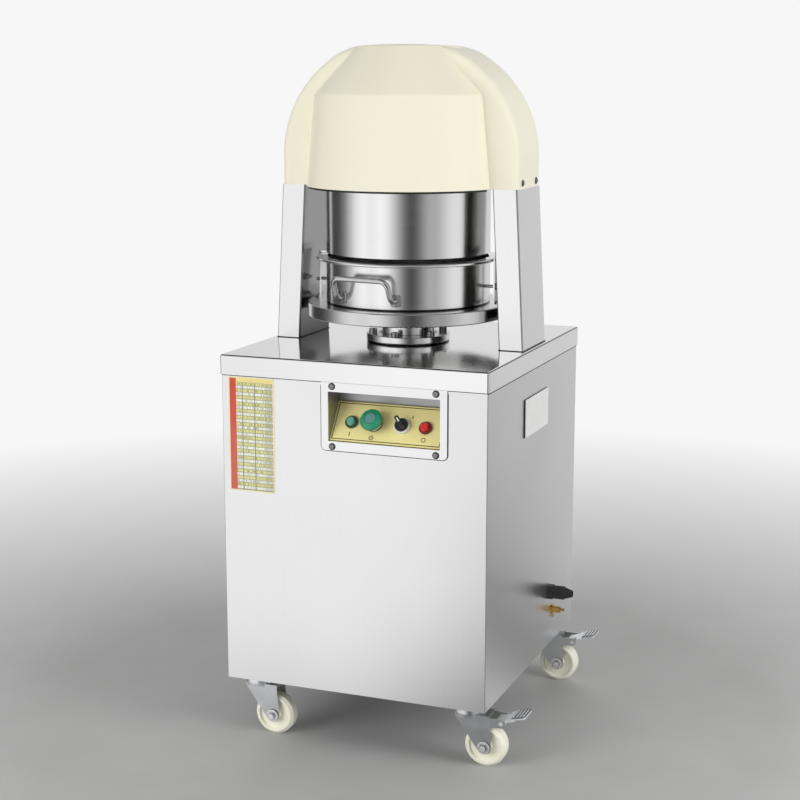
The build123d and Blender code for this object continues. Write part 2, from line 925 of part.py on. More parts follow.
# Welded stand under the gearbox: two cheeks and a top plate with a hole for the screw
with BuildPart() as jack_stand:
    with BuildSketch(Plane.XZ.offset(gearbox_depth / 2)):
        with Locations((0, (base_top + gearbox_bottom) / 2)):
            Rectangle(gearbox_width, gearbox_bottom - base_top)
        with Locations((0, (base_top + gearbox_bottom) / 2 - stand_plate)):
            Rectangle(gearbox_width - 2 * stand_plate, gearbox_bottom - base_top, mode=Mode.SUBTRACT)
    extrude(amount=-gearbox_depth)
    with BuildSketch(Plane.XY.offset(gearbox_bottom)):
        Circle(stand_hole_radius)
    extrude(amount=-stand_plate, mode=Mode.SUBTRACT)
keep("jack_stand", jack_stand)

# Drive motor on the rear of the gearbox: flange, finned body, fan cover and terminal box
motor_level = (gearbox_top + gearbox_bottom) / 2
motor_start = Plane.XZ.offset(-gearbox_depth / 2)
fan_start = front - sheet - motor_clearance - fan_cover_length
motor_length = fan_start - gearbox_depth / 2 - motor_flange
with BuildPart() as drive_motor:
    with BuildSketch(motor_start):
        with Locations((0, motor_level)):
            Circle(motor_flange_radius)
    extrude(amount=-motor_flange)
    with BuildSketch(motor_start.offset(-motor_flange)):
        with Locations((0, motor_level)):
            Circle(motor_radius - motor_fin_height)
            with PolarLocations(motor_radius - motor_fin_height, motor_fin_count):
                Rectangle(2 * motor_fin_height, motor_fin_width)
    extrude(amount=-motor_length)
    with BuildSketch(Plane.XZ.offset(-fan_start)):
        with Locations((0, motor_level)):
            Circle(motor_radius)
    extrude(amount=-fan_cover_length)
    fillet(drive_motor.faces().sort_by(Axis.Y)[-1].edges(), fan_cover_radius)
    with BuildSketch(Plane.XY.offset(motor_level + motor_radius - 2 * motor_fin_height)):
        with Locations((0, fan_start - motor_length / 2)):
            Rectangle(terminal_width, terminal_length)
    extrude(amount=2 * motor_fin_height + terminal_height)
keep("drive_motor", drive_motor)

# Pan with a flat flange and a rolled bead at its rim
with BuildPart() as pan:
    with BuildSketch(Plane.XZ):
        with BuildLine():
            Polyline(
                (0, pan_bottom),
                (pan_outer_radius, pan_bottom),
                (pan_outer_radius, rim_top - pan_wall),
                (rim_radius, rim_top - pan_wall),
                (rim_radius, rim_top),
                (pan_inner_radius, rim_top),
                (pan_inner_radius, pan_bottom + pan_floor),
                (0, pan_bottom + pan_floor),
                close=True,
            )
        make_face()
        with Locations((rim_radius, rim_top - rim_bead)):
            Circle(rim_bead)
    revolve(axis=Axis.Z)
keep("pan", pan)

# Pan handle: a round bar bent up and out from two riveted foot plates
foot_y = -((pan_outer_radius**2 - handle_half_width**2) ** 0.5)
foot_z = pan_bottom + handle_foot_height
with BuildPart() as handle_feet:
    for side in (-1, 1):
        with BuildSketch(Plane.XZ.offset(-foot_y - foot_plate_thickness)):
            with Locations((side * handle_half_width, foot_z)):
                RectangleRounded(foot_plate_width, foot_plate_height, foot_plate_radius)
        extrude(amount=2 * foot_plate_thickness + foot_plate_width / 2)
    with BuildSketch(Plane.XY.offset(pan_bottom)):
        Circle(pan_outer_radius)
    extrude(amount=pan_height, mode=Mode.SUBTRACT)
    with BuildSketch(Plane.XY.offset(pan_bottom)):
        Rectangle(2 * tray_radius, 2 * tray_radius)
        Circle(pan_outer_radius + foot_plate_thickness, mode=Mode.SUBTRACT)
    extrude(amount=pan_height, mode=Mode.SUBTRACT)
keep("handle_feet", turn_round(handle_feet, handle_turn))
bar_start_radius = pan_outer_radius + foot_plate_thickness
bar_start_y = -((bar_start_radius**2 - handle_half_width**2) ** 0.5)
with BuildPart() as pan_handle:
    with BuildLine() as bar_path:
        FilletPolyline(
            (-handle_half_width, bar_start_y + handle_bar_radius, foot_z),
            (-handle_half_width, bar_start_y - handle_reach / 2, foot_z),
            (-handle_half_width, bar_start_y - handle_reach, foot_z + handle_rise),
            (handle_half_width, bar_start_y - handle_reach, foot_z + handle_rise),
            (handle_half_width, bar_start_y - handle_reach / 2, foot_z),
            (handle_half_width, bar_start_y + handle_bar_radius, foot_z),
            radius=handle_bend,
        )
    with BuildSketch(Plane(origin=bar_path.line @ 0, z_dir=bar_path.line % 0)):
        Circle(handle_bar_radius)
    sweep()
    with BuildSketch(Plane.XY.offset(pan_bottom)):
        Circle(bar_start_radius)
    extrude(amount=pan_height, mode=Mode.SUBTRACT)
keep("pan_handle", turn_round(pan_handle, handle_turn))

# Side clamps: straps that stand on the platform and hook over the pan's rim
strap_inner = rim_radius + rim_bead + clamp_gap
strap_outer = strap_inner + clamp_thickness
hook_level = rim_top + hook_gap
with BuildPart() as pan_clamps:
    with BuildSketch(Plane.XZ.offset(clamp_width / 2)):
        with BuildLine():
            Polyline(
                (strap_outer + foot_length, tray_top),
                (strap_outer + foot_length, tray_top + clamp_thickness),
                (strap_outer, tray_top + clamp_thickness),
                (strap_outer, hook_level + clamp_thickness),
                (strap_inner - hook_reach, hook_level + clamp_thickness),
                (strap_inner - hook_reach, hook_level),
                (strap_inner, hook_level),
                (strap_inner, tray_top),
                close=True,
            )
        make_face()
        mirror(about=Plane.YZ)
    extrude(amount=-clamp_width)
    with BuildSketch(Plane.YZ.offset(-strap_outer)):
        with Locations((0, tray_top + wing_height)):
            Circle(wing_screw_radius)
    extrude(amount=2 * strap_outer, mode=Mode.SUBTRACT)
keep("pan_clamps", pan_clamps)

# Clamp screws: a wing screw through each strap to the pan's wall, and the foot screws
screw_tip = pan_outer_radius + seat_gap
with BuildPart() as clamp_screws:
    with BuildSketch(Plane.YZ.offset(screw_tip)):
        with Locations((0, tray_top + wing_height)):
            Circle(wing_screw_radius)
    extrude(amount=strap_outer - screw_tip)
    with BuildSketch(Plane.YZ.offset(strap_outer)):
        with Locations((0, tray_top + wing_height)):
            Circle(wing_hub_radius)
    extrude(amount=wing_depth)
    with BuildSketch(Plane.YZ.offset(strap_outer + wing_depth / 2)):
        with Locations((0, tray_top + wing_height)):
            SlotOverall(wing_span, wing_width)
    extrude(amount=wing_depth)
    with BuildSketch(Plane.XY.offset(tray_top + clamp_thickness)):
        with Locations(
            (strap_outer + foot_length / 2, -clamp_width / 4),
            (strap_outer + foot_length / 2, clamp_width / 4),
        ):
            RegularPolygon(foot_screw_radius, 6)
    extrude(amount=foot_screw_height)
    mirror(about=Plane.YZ)
keep("clamp_screws", clamp_screws)

# Cable gland on the right side: a hex nut, a body and a tapered nose with a through bore
side_face = Plane.YZ.offset(cabinet_width / 2)
gland_length = gland_nut_height + gland_body_length + gland_nose_length
with BuildPart() as cable_gland:
    with BuildSketch(side_face):
        with Locations((gland_y, gland_z)):
            RegularPolygon(gland_nut_radius, 6)
    extrude(amount=gland_nut_height)
    with BuildSketch(side_face.offset(gland_nut_height)):
        with Locations((gland_y, gland_z)):
            Circle(gland_body_radius)
    extrude(amount=gland_body_length)
    with BuildSketch(side_face.offset(gland_nut_height + gland_body_length)):
        with Locations((gland_y, gland_z)):
            Circle(gland_nose_radius)
    extrude(amount=gland_nose_length, taper=gland_nose_taper)
    with BuildSketch(side_face):
        with Locations((gland_y, gland_z)):
            Circle(gland_bore)
    extrude(amount=gland_length, mode=Mode.SUBTRACT)
keep("cable_gland", cable_gland)

# Earth stud below the gland: a threaded pin with a washer, a lug that hangs from it and a nut
with BuildPart() as earth_stud:
    with BuildSketch(side_face.offset(-2 * sheet)):
        with Locations((stud_y, stud_z)):
            Circle(stud_radius)
    extrude(amount=stud_length + 2 * sheet)
    with BuildSketch(side_face):
        with Locations((stud_y, stud_z)):
            Circle(stud_washer_radius)
    extrude(amount=stud_washer_height)
    with BuildSketch(side_face.offset(stud_washer_height)):
        with Locations((stud_y, stud_z)):
            Circle(lug_eye_radius)
        with Locations((stud_y, stud_z - lug_length / 2)):
            Rectangle(lug_width, lug_length)
    extrude(amount=lug_thickness)
    with BuildSketch(side_face.offset(stud_washer_height + lug_thickness)):
        with Locations((stud_y, stud_z)):
            RegularPolygon(stud_nut_radius, 6)
    extrude(amount=stud_nut_height)
keep("earth_stud", earth_stud)

# Round heads of the screws that hold the bezel and the hood
bezel_screw_x = bezel_width / 2 - bezel_screw_inset_x
bezel_screw_z = bezel_height / 2 - bezel_screw_inset_z
with BuildPart() as cover_screws:
    with BuildSketch(Plane.XZ.offset(front + bezel_thickness)):
        with Locations(window_center):
            with GridLocations(2 * bezel_screw_x, 2 * bezel_screw_z, 2, 2):
                Circle(screw_head_radius)
    extrude(amount=screw_head_height, taper=screw_head_taper)
    for side in (-1, 1):
        with BuildSketch(Plane.YZ.offset(side * hood_half_width)):
            with Locations((column_back, hood_bottom + hood_screw_rise)):
                with GridLocations(hood_screw_spacing, 0, 2, 1):
                    Circle(screw_head_radius)
        extrude(amount=side * screw_head_height, taper=screw_head_taper)
keep("cover_screws", cover_screws)

# Caster top plates with their fixed bearing races, and the bolts through them
caster_x = cabinet_width / 2 - caster_inset
caster_y = front - caster_inset
caster_places = {
    "front_right": (caster_x, -caster_y),
    "rear_right": (caster_x, caster_y),
    "front_left": (-caster_x, -caster_y),
    "rear_left": (-caster_x, caster_y),
}
braked = ("front_right", "rear_right")
plate_bottom = caster_height - caster_plate_thickness
race_bottom = plate_bottom - race_height
with BuildPart() as caster_plates:
    with BuildSketch(Plane.XY.offset(plate_bottom)):
        with Locations(*caster_places.values()):
            RectangleRounded(caster_plate_length, caster_plate_width, caster_plate_corner)
    extrude(amount=caster_plate_thickness)
    with BuildSketch(Plane.XY.offset(race_bottom)):
        with Locations(*caster_places.values()):
            Circle(race_radius)
    extrude(amount=race_height, taper=race_taper)
keep("caster_plates", caster_plates)
with BuildPart() as caster_bolts:
    with BuildSketch(Plane.XY.offset(plate_bottom)):
        with Locations(*caster_places.values()):
            with GridLocations(caster_bolt_spacing_x, caster_bolt_spacing_y, 2, 2):
                RegularPolygon(caster_bolt_radius, 6)
    extrude(amount=-caster_bolt_height)
keep("caster_bolts", caster_bolts)

# Each caster: a fork with its axle bolt, a wheel and, on two of them, a brake pedal
crown_top = race_bottom - swivel_gap
crown_bottom = crown_top - crown_thickness
hub_half_width = fork_gap - swivel_gap
for caster_name, (place_x, place_y) in caster_places.items():
    has_brake = caster_name in braked
    wheel_x = place_x + trail
    wheel_face = place_y - wheel_width / 2
    pivot_x = place_x + pedal_pivot_x
    with BuildPart() as fork:
        for leg_side in (-1, 1):
            leg_plane = Plane.XZ.offset(-place_y - leg_side * (fork_gap + fork_thickness / 2))
            with BuildSketch(leg_plane):
                with Locations((place_x + (fork_front - fork_back) / 2, crown_bottom + crown_thickness / 2)):
                    Rectangle(fork_back + fork_front, crown_thickness)
                with Locations((wheel_x, wheel_radius)):
                    Circle(axle_boss_radius)
                make_hull()
                with Locations((wheel_x, wheel_radius)):
                    Circle(axle_radius, mode=Mode.SUBTRACT)
            extrude(amount=fork_thickness / 2, both=True)
            if has_brake:
                with BuildSketch(leg_plane):
                    with Locations((place_x + fork_front - pedal_boss_radius, pedal_pivot_height)):
                        Rectangle(2 * pedal_boss_radius, 2 * pedal_boss_radius)
                    with Locations((pivot_x, pedal_pivot_height)):
                        Circle(pedal_boss_radius)
                    make_hull()
                    with Locations((pivot_x, pedal_pivot_height)):
                        Circle(pedal_pin_radius + running_fit, mode=Mode.SUBTRACT)
                extrude(amount=fork_thickness / 2, both=True)
        with BuildSketch(Plane.XY.offset(crown_bottom)):
            with Locations((place_x, place_y)):
                Circle(race_radius)
            with Locations((place_x + (fork_front - fork_back) / 2, place_y)):
                Rectangle(fork_back + fork_front, 2 * fork_gap)
        extrude(amount=crown_thickness)
    with BuildPart() as axle:
        with BuildSketch(Plane.XZ.offset(-place_y)):
            with Locations((wheel_x, wheel_radius)):
                Circle(axle_radius)
        extrude(amount=fork_gap + fork_thickness, both=True)
        for head_side in (-1, 1):
            with BuildSketch(Plane.XZ.offset(-place_y - head_side * (fork_gap + fork_thickness))):
                with Locations((wheel_x, wheel_radius)):
                    RegularPolygon(axle_head_radius, 6)
            extrude(amount=-head_side * axle_head_height)
    fork_group = Compound(children=[fork.part, axle.part])
    fork_group.label = f"{caster_name}_fork"
    pieces[f"{caster_name}_fork"] = fork_group
    with BuildPart() as wheel:
        with BuildSketch(Plane.XY.offset(wheel_radius)):
            with BuildLine():
                Polyline(
                    (wheel_x + axle_radius + running_fit, place_y - hub_half_width),
                    (wheel_x + wheel_hub_radius, place_y - hub_half_width),
                    (wheel_x + wheel_hub_radius + wheel_dish_slope, wheel_face + wheel_dish),
                    (wheel_x + wheel_radius - wheel_rim - wheel_dish_slope, wheel_face + wheel_dish),
                    (wheel_x + wheel_radius - wheel_rim, wheel_face),
                    (wheel_x + wheel_radius - wheel_shoulder, wheel_face),
                    (wheel_x + wheel_radius, wheel_face + wheel_shoulder),
                    (wheel_x + wheel_radius, place_y),
                    (wheel_x + axle_radius + running_fit, place_y),
                    close=True,
                )
            make_face()
            mirror(about=Plane.XZ.offset(-place_y))
        revolve(axis=Axis((wheel_x, place_y, wheel_radius), (0, 1, 0)))
    keep(f"{caster_name}_wheel", wheel)
    if not has_brake:
        continue
    slope = Plane(
        origin=(pivot_x, place_y, pedal_pivot_height),
        x_dir=(cos(radians(pedal_slope)), 0, sin(radians(pedal_slope))),
        z_dir=(-sin(radians(pedal_slope)), 0, cos(radians(pedal_slope))),
    )
    heel_level = pedal_sleeve_radius - pedal_thickness
    tread_middle = pedal_step + pedal_tread / 2
    with BuildPart() as pedal:
        with BuildSketch(Plane.XZ.offset(-place_y)):
            with Locations((pivot_x, pedal_pivot_height)):
                Circle(pedal_pin_radius)
        extrude(amount=fork_gap + fork_thickness, both=True)
        with BuildSketch(Plane.XZ.offset(-place_y)):
            with Locations((pivot_x, pedal_pivot_height)):
                Circle(pedal_sleeve_radius)
        extrude(amount=pedal_width / 2, both=True)
        with BuildSketch(slope.offset(heel_level)):
            with Locations(((pedal_step + pedal_corner - pedal_heel) / 2, 0)):
                Rectangle(pedal_step + pedal_corner + pedal_heel, pedal_width)
            with Locations(((pedal_wing + pedal_step + pedal_corner) / 2, 0)):
                Rectangle(pedal_step + pedal_corner - pedal_wing, pedal_tread_width)
        extrude(amount=pedal_thickness)
        with BuildSketch(slope.offset(heel_level + pedal_thickness)):
            with Locations((tread_middle, 0)):
                RectangleRounded(pedal_tread, pedal_tread_width, pedal_corner)
        extrude(amount=pedal_thickness)
        with BuildSketch(slope.offset(heel_level + 2 * pedal_thickness)):
            with Locations((tread_middle, 0)):
                with GridLocations(pedal_rib_pitch, 0, pedal_rib_count, 1):
                    Rectangle(pedal_rib_width, pedal_tread_width - 2 * pedal_corner)
        extrude(amount=pedal_rib_height)
    keep(f"{caster_name}_pedal", pedal)

os.makedirs("parts", exist_ok=True)
for node_name, piece in pieces.items():
    export_step(piece, f"parts/{node_name}.step")
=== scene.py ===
import json
import math
from functools import partial

import bpy
from bpy.props import FloatProperty, FloatVectorProperty, IntProperty, PointerProperty
from mathutils import Matrix, Vector


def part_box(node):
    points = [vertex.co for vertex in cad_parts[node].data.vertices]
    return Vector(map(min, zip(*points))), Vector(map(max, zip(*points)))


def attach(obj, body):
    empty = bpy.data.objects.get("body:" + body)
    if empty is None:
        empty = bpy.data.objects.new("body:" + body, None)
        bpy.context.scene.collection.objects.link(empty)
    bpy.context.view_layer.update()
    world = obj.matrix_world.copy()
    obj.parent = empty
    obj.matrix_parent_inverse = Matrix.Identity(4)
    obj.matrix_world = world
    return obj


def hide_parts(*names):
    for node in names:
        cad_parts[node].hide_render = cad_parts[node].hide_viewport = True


bl_info = {
    "name": "Dough divider dressing",
    "version": (1, 0, 0),
    "blender": (4, 5, 0),
    "location": "3D View > Sidebar > Divider",
    "description": "Dresses the packed dough divider with finishes, plates and small fittings",
    "category": "Object",
}

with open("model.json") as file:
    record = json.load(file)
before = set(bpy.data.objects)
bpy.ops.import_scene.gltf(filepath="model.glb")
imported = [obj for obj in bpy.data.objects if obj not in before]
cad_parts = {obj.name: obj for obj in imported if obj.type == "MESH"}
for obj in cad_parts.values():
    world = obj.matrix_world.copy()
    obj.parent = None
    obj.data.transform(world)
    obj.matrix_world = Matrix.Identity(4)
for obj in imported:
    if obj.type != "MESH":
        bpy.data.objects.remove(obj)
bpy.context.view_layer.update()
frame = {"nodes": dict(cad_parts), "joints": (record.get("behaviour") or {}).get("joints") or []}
nodes = frame["nodes"]
joints = {joint["name"]: joint for joint in frame["joints"]}
mm = 0.001
column_lean = 15 * mm
pedal_slope = math.radians(12)
backdrop = (0.93, 0.93, 0.93)
pad_black = (0.02, 0.02, 0.02)
braked = ("front_right", "rear_right")
casters = braked + ("front_left", "rear_left")


def a_colour(name, description, default):
    return FloatVectorProperty(name=name, description=description, subtype="COLOR", default=default)


def a_length(name, description, default):
    return FloatProperty(name=name, description=description, unit="LENGTH", default=default)


def a_corner(name, description, default):
    return FloatVectorProperty(name=name, description=description, size=2, unit="LENGTH", default=default)


def a_power(name, description, default):
    return FloatProperty(name=name, description=description, unit="POWER", default=default)


def an_angle(name, description, degrees):
    return FloatProperty(name=name, description=description, subtype="ANGLE", default=math.radians(degrees))


class DividerStage(bpy.types.PropertyGroup):
    """Camera, lamps and floor"""

    camera_place: FloatVectorProperty(
        name="Camera place", description="Where the camera stands", size=3, subtype="TRANSLATION",
        unit="LENGTH", default=(1.1169, -2.8832, 1.2104))
    camera_yaw: an_angle("Camera yaw", "Turn to the left from the straight front view", 21.46)
    camera_pitch: an_angle("Camera pitch", "Tilt below the horizon", 11.16)
    camera_lens: FloatProperty(
        name="Lens", description="Focal length on a 36 mm sensor", unit="CAMERA", default=75.1)
    key_power: a_power("Key lamp", "Power of the large soft lamp at the left", 44.0)
    fill_power: a_power("Fill lamp", "Power of the soft lamp at the right", 50.0)
    top_power: a_power("Top lamp", "Power of the soft lamp overhead", 5.0)
    low_power: a_power("Low lamp", "Power of the soft lamp near the floor in front", 6.0)
    back_power: a_power("Back lamp", "Power of the soft lamp behind", 16.0)
    floor_colour: a_colour("Floor", "Colour of the floor", (0.48, 0.48, 0.47))
    floor_radius: a_length("Floor radius", "Radius of the floor disc", 9.0)


class DividerFinishes(bpy.types.PropertyGroup):
    """Colours of the finishes"""

    panel_steel: a_colour("Panel steel", "Brushed sheet of the cabinet", (0.90, 0.90, 0.90))
    lid_steel: a_colour("Lid steel", "Finer sheet of the lid and columns", (0.88, 0.88, 0.87))
    turned_steel: a_colour("Turned steel", "Polished pan, sleeve and platform", (0.90, 0.90, 0.89))
    hood_cream: a_colour("Hood", "Gloss moulding of the hood", (0.86, 0.82, 0.655))
    plate_gold: a_colour("Control plate", "Anodised control plate", (0.98, 0.88, 0.385))
    button_green: a_colour("Start button", "Moulding of the start button", (0.004, 0.27, 0.13))
    button_disc: a_colour("Button disc", "Paler disc in the start button's face", (0.10, 0.26, 0.22))
    lens_green: a_colour("Green lens", "Lens of the green lamp", (0.14, 0.42, 0.32))
    lens_red: a_colour("Red lens", "Lens of the red lamp", (0.75, 0.015, 0.012))
    wheel_ivory: a_colour("Wheels", "Moulding of the caster wheels", (0.93, 0.92, 0.77))
    zinc: a_colour("Zinc", "Plated pressings of the casters", (0.68, 0.69, 0.70))
    frame_paint: a_colour("Frame paint", "Painted steel inside the cabinet", (0.16, 0.18, 0.20))


class DividerPlates(bpy.types.PropertyGroup):
    """Bare plates on the cabinet"""

    chart_low: a_corner("Chart corner", "Lower left corner of the chart, X and Z", (-0.2375, 0.469))
    chart_high: a_corner("Chart far corner", "Upper right corner of the chart, X and Z", (-0.148, 0.6775))
    chart_rows: IntProperty(name="Chart rows", description="Rows of the weight chart", default=32)
    thickness: a_length("Thickness", "Thickness of the weight chart", 0.0006)
    corner: a_length("Corner radius", "Rounding of the chart's corners", 0.003)
    side_low: a_corner("Side plate corner", "Lower front corner of the side plate, Y and Z", (-0.067, 0.560))
    side_high: a_corner("Side far corner", "Upper rear corner of the side plate, Y and Z", (0.075, 0.630))
    side_thickness: a_length("Side plate thickness", "Thickness of the side plate and its pad", 0.0028)
    side_pad: a_length("Pad", "Thickness of the dark pad under the side plate", 0.0021)
    side_corner: a_length("Side corner radius", "Rounding of the side plate's corners", 0.0008)


class DividerFittings(bpy.types.PropertyGroup):
    """Small fasteners and marks"""

    screw_radius: a_length("Screw head", "Radius of a cover screw's head", 0.0049)
    screw_height: a_length("Screw height", "Height of a cover screw's head", 0.0028)
    washer_radius: a_length("Washer", "Radius of the washers under the screws of bezel and hood", 0.0064)
    washer_height: a_length("Washer height", "Thickness of the black washers", 0.0007)
    rivet_radius: a_length("Rivet", "Radius of a rivet in the pan handle's feet", 0.0032)
    pointer_width: a_length("Pointer", "Width of the line on the selector knob", 0.0024)
    seal_width: a_length("Seal", "How far the rubber seals stand out round a foot or a frame", 0.0016)
    seal_height: a_length("Seal height", "Height of the seals under the columns' feet", 0.0011)


def deselect_all():
    bpy.ops.object.select_all(action="DESELECT")


def make_active(piece):
    deselect_all()
    piece.select_set(True)
    bpy.context.view_layer.objects.active = piece


def leave_edit():
    bpy.ops.object.mode_set(mode="OBJECT")


def apply_place():
    bpy.ops.object.transform_apply(location=True, rotation=True, scale=True)


def pick(piece, mode, kind, test):
    """Leave the piece in edit mode with those of its faces or edges selected that pass the test."""
    make_active(piece)
    bpy.ops.object.mode_set(mode="EDIT")
    bpy.ops.mesh.select_mode(type=mode)
    bpy.ops.mesh.select_all(action="DESELECT")
    leave_edit()
    for item in getattr(piece.data, kind):
        item.select = test(item)
    bpy.ops.object.mode_set(mode="EDIT")


def pick_faces(piece, test):
    pick(piece, "FACE", "polygons", test)


def bevel_edges(piece, test, offset, segments):
    """Round off the edges whose two ends pass the test."""
    pick(piece, "EDGE", "edges", lambda edge: test(*(piece.data.vertices[end].co for end in edge.vertices)))
    bpy.ops.mesh.bevel(offset=offset, segments=segments, affect="EDGES")
    leave_edit()


def settle(piece):
    """Put the piece's place into its mesh and close its seams."""
    make_active(piece)
    apply_place()
    bpy.ops.object.mode_set(mode="EDIT")
    bpy.ops.mesh.select_all(action="SELECT")
    bpy.ops.mesh.remove_doubles(threshold=0.005 * mm)
    bpy.ops.mesh.normals_make_consistent(inside=False)
    leave_edit()
    bpy.ops.object.shade_smooth_by_angle(angle=math.radians(32))


def join_pieces(parts):
    deselect_all()
    for part in parts:
        part.select_set(True)
    bpy.context.view_layer.objects.active = parts[0]
    bpy.ops.object.join()
    return bpy.context.object


def block(centre, size):
    deselect_all()
    bpy.ops.mesh.primitive_cube_add(size=1, location=centre, scale=size)
    apply_place()
    return bpy.context.object


def rounded_box(low, high, axis, corner):
    """Box between two corners, with its edges along one axis rounded off."""
    box = block((low + high) / 2, high - low)
    others = [k for k in range(3) if k != axis]
    bevel_edges(box, lambda a, b: all(abs(a[k] - b[k]) < 1e-6 for k in others), corner, 6)
    return box


def thin_plate(low, high, axis, side, corner):
    """Plate with a fine rim round the face that looks to one side of an axis."""
    plate = rounded_box(low, high, axis, corner)
    pick_faces(plate, lambda face: face.normal[axis] * side > 0.9)
    bpy.ops.mesh.inset(thickness=0.2 * mm, depth=0.0)
    leave_edit()
    settle(plate)
    return plate


def rounded_stub(radius, depth, rounding):
    """Short round bar along Z, standing on the origin, with its outer end rounded off."""
    deselect_all()
    bpy.ops.mesh.primitive_cylinder_add(vertices=32, radius=radius, depth=depth, location=(0, 0, depth / 2))
    stub = bpy.context.object
    apply_place()
    bevel_edges(stub, lambda a, b: min(a.z, b.z) > depth * 0.9, rounding, 4)
    return stub


def set_out(first, spots):
    """One piece from copies of a part that stands along Z, one at each spot and pointing outwards."""
    copies = []
    for spot, outward in spots:
        copy = first.copy()
        copy.data = first.data.copy()
        bpy.context.scene.collection.objects.link(copy)
        turn = outward.to_track_quat("Z", "Y").to_matrix().to_4x4()
        copy.matrix_world = Matrix.Translation(spot) @ turn
        copies.append(copy)
    bpy.data.objects.remove(first)
    piece = join_pieces(copies)
    settle(piece)
    return piece


def wear(piece, material):
    piece.data.materials.clear()
    piece.data.materials.append(material)


def finish_piece(piece, name, body, material):
    piece.name = name
    piece.data.name = name
    wear(piece, material)
    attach(piece, body)


def dress(material, *node_names):
    for node_name in node_names:
        wear(nodes[node_name], material)


def corners(node_name):
    return tuple(Vector(corner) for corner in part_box(node_name))


def reach(node_name, direction):
    """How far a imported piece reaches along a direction."""
    return max(direction.dot(vertex.co) for vertex in nodes[node_name].data.vertices)


def control_axes():
    """Centre of the control plate, its outward normal and its upward direction."""
    outward = -Vector(joints["selector_turn"]["axis"])
    low, high = corners("control_plate")
    return (low + high) / 2, outward, outward.cross(Vector((1, 0, 0)))


def is_socket(value):
    return isinstance(value, bpy.types.NodeSocket)


def feed(node, inputs):
    """Link a node's inputs to sockets, or set their values."""
    for key, value in inputs.items():
        if is_socket(value):
            node.id_data.links.new(value, node.inputs[key])
        else:
            node.inputs[key].default_value = value


def add_node(kind, inputs, **settings):
    """New node in the tree of the sockets that feed it."""
    tree = next(value.id_data for value in inputs.values() if is_socket(value))
    node = tree.nodes.new(kind)
    for key, value in settings.items():
        setattr(node, key, value)
    feed(node, inputs)
    return node


def math_node(operation, first, second=0.0, third=0.0):
    return add_node("ShaderNodeMath", {0: first, 1: second, 2: third}, operation=operation).outputs[0]


plus = partial(math_node, "ADD")
minus = partial(math_node, "SUBTRACT")
times = partial(math_node, "MULTIPLY")
absolute = partial(math_node, "ABSOLUTE")
smaller = partial(math_node, "MINIMUM")
over = partial(math_node, "GREATER_THAN")
under = partial(math_node, "LESS_THAN")


def largest(first, *others):
    for other in others:
        first = math_node("MAXIMUM", first, other)
    return first


def remap(value, low, high, to_low=0.0, to_high=1.0):
    return add_node("ShaderNodeMapRange", {
        "Value": value, "From Min": low, "From Max": high, "To Min": to_low, "To Max": to_high,
    }).outputs["Result"]


def band(value, centre, half_width):
    """1 where the value lies within half a width of the centre, with a soft edge."""
    distance = absolute(minus(value, centre))
    return remap(distance, half_width * 0.8, half_width * 1.2, 1.0, 0.0)


def vector_node(operation, first, second=(0, 0, 0), output="Vector"):
    return add_node("ShaderNodeVectorMath", {0: first, 1: second}, operation=operation).outputs[output]


def dot(place, direction):
    return vector_node("DOT_PRODUCT", place, direction, "Value")


def split(place):
    """X, Y and Z of a point."""
    return add_node("ShaderNodeSeparateXYZ", {0: place}).outputs


def noise(place, scale, detail):
    inputs = {"Vector": place, "Scale": scale, "Detail": detail}
    return add_node("ShaderNodeTexNoise", inputs).outputs["Fac"]


def waves(place, scale, direction):
    inputs = {"Vector": place, "Scale": scale}
    return add_node("ShaderNodeTexWave", inputs, bands_direction=direction).outputs["Fac"]


def bumped(height, strength, distance):
    inputs = {"Height": height, "Strength": strength, "Distance": distance}
    return add_node("ShaderNodeBump", inputs).outputs["Normal"]


def mix_colour(factor, first, second):
    """Colour between two, each of them a socket or a plain colour."""
    first, second = (end if is_socket(end) else (*end[:3], 1.0) for end in (first, second))
    return add_node("ShaderNodeMix", {0: factor, 6: first, 7: second}, data_type="RGBA").outputs[2]


def toned(colour, share):
    """Darker or lighter colour."""
    return tuple(channel * share for channel in colour[:3])


def new_group(name, inputs, outputs):
    """Group with sockets of the given kinds, the sockets that start it and the node that ends it."""
    group = bpy.data.node_groups.new(name, "ShaderNodeTree")
    for way, sockets in (("INPUT", inputs), ("OUTPUT", outputs)):
        for socket_name, kind in sockets.items():
            group.interface.new_socket(name=socket_name, in_out=way, socket_type=f"NodeSocket{kind}")
    return group, group.nodes.new("NodeGroupInput").outputs, group.nodes.new("NodeGroupOutput")


def brush_marks_group(name):
    """Fine drawn lines of a brushed or turned metal face."""
    group, start, end = new_group(
        name, {"Vector": "Vector", "Stretch": "Vector"}, {"Marks": "Float", "Patches": "Float"})
    lines = noise(vector_node("MULTIPLY", start[0], start[1]), 1.0, 3.0)
    patches = noise(start[0], 5.0, 3.0)
    feed(end, {"Marks": remap(lines, 0.3, 0.7), "Patches": remap(patches, 0.3, 0.7)})
    return group


def moulded_grain_group(name):
    """Slight unevenness of a moulded or painted skin."""
    group, start, end = new_group(
        name, {"Vector": "Vector", "Fineness": "Float"}, {"Grain": "Float", "Cloud": "Float"})
    cloud = remap(noise(start[0], 7.0, 3.0), 0.3, 0.7)
    feed(end, {"Grain": noise(start[0], start[1], 2.0), "Cloud": cloud})
    return group


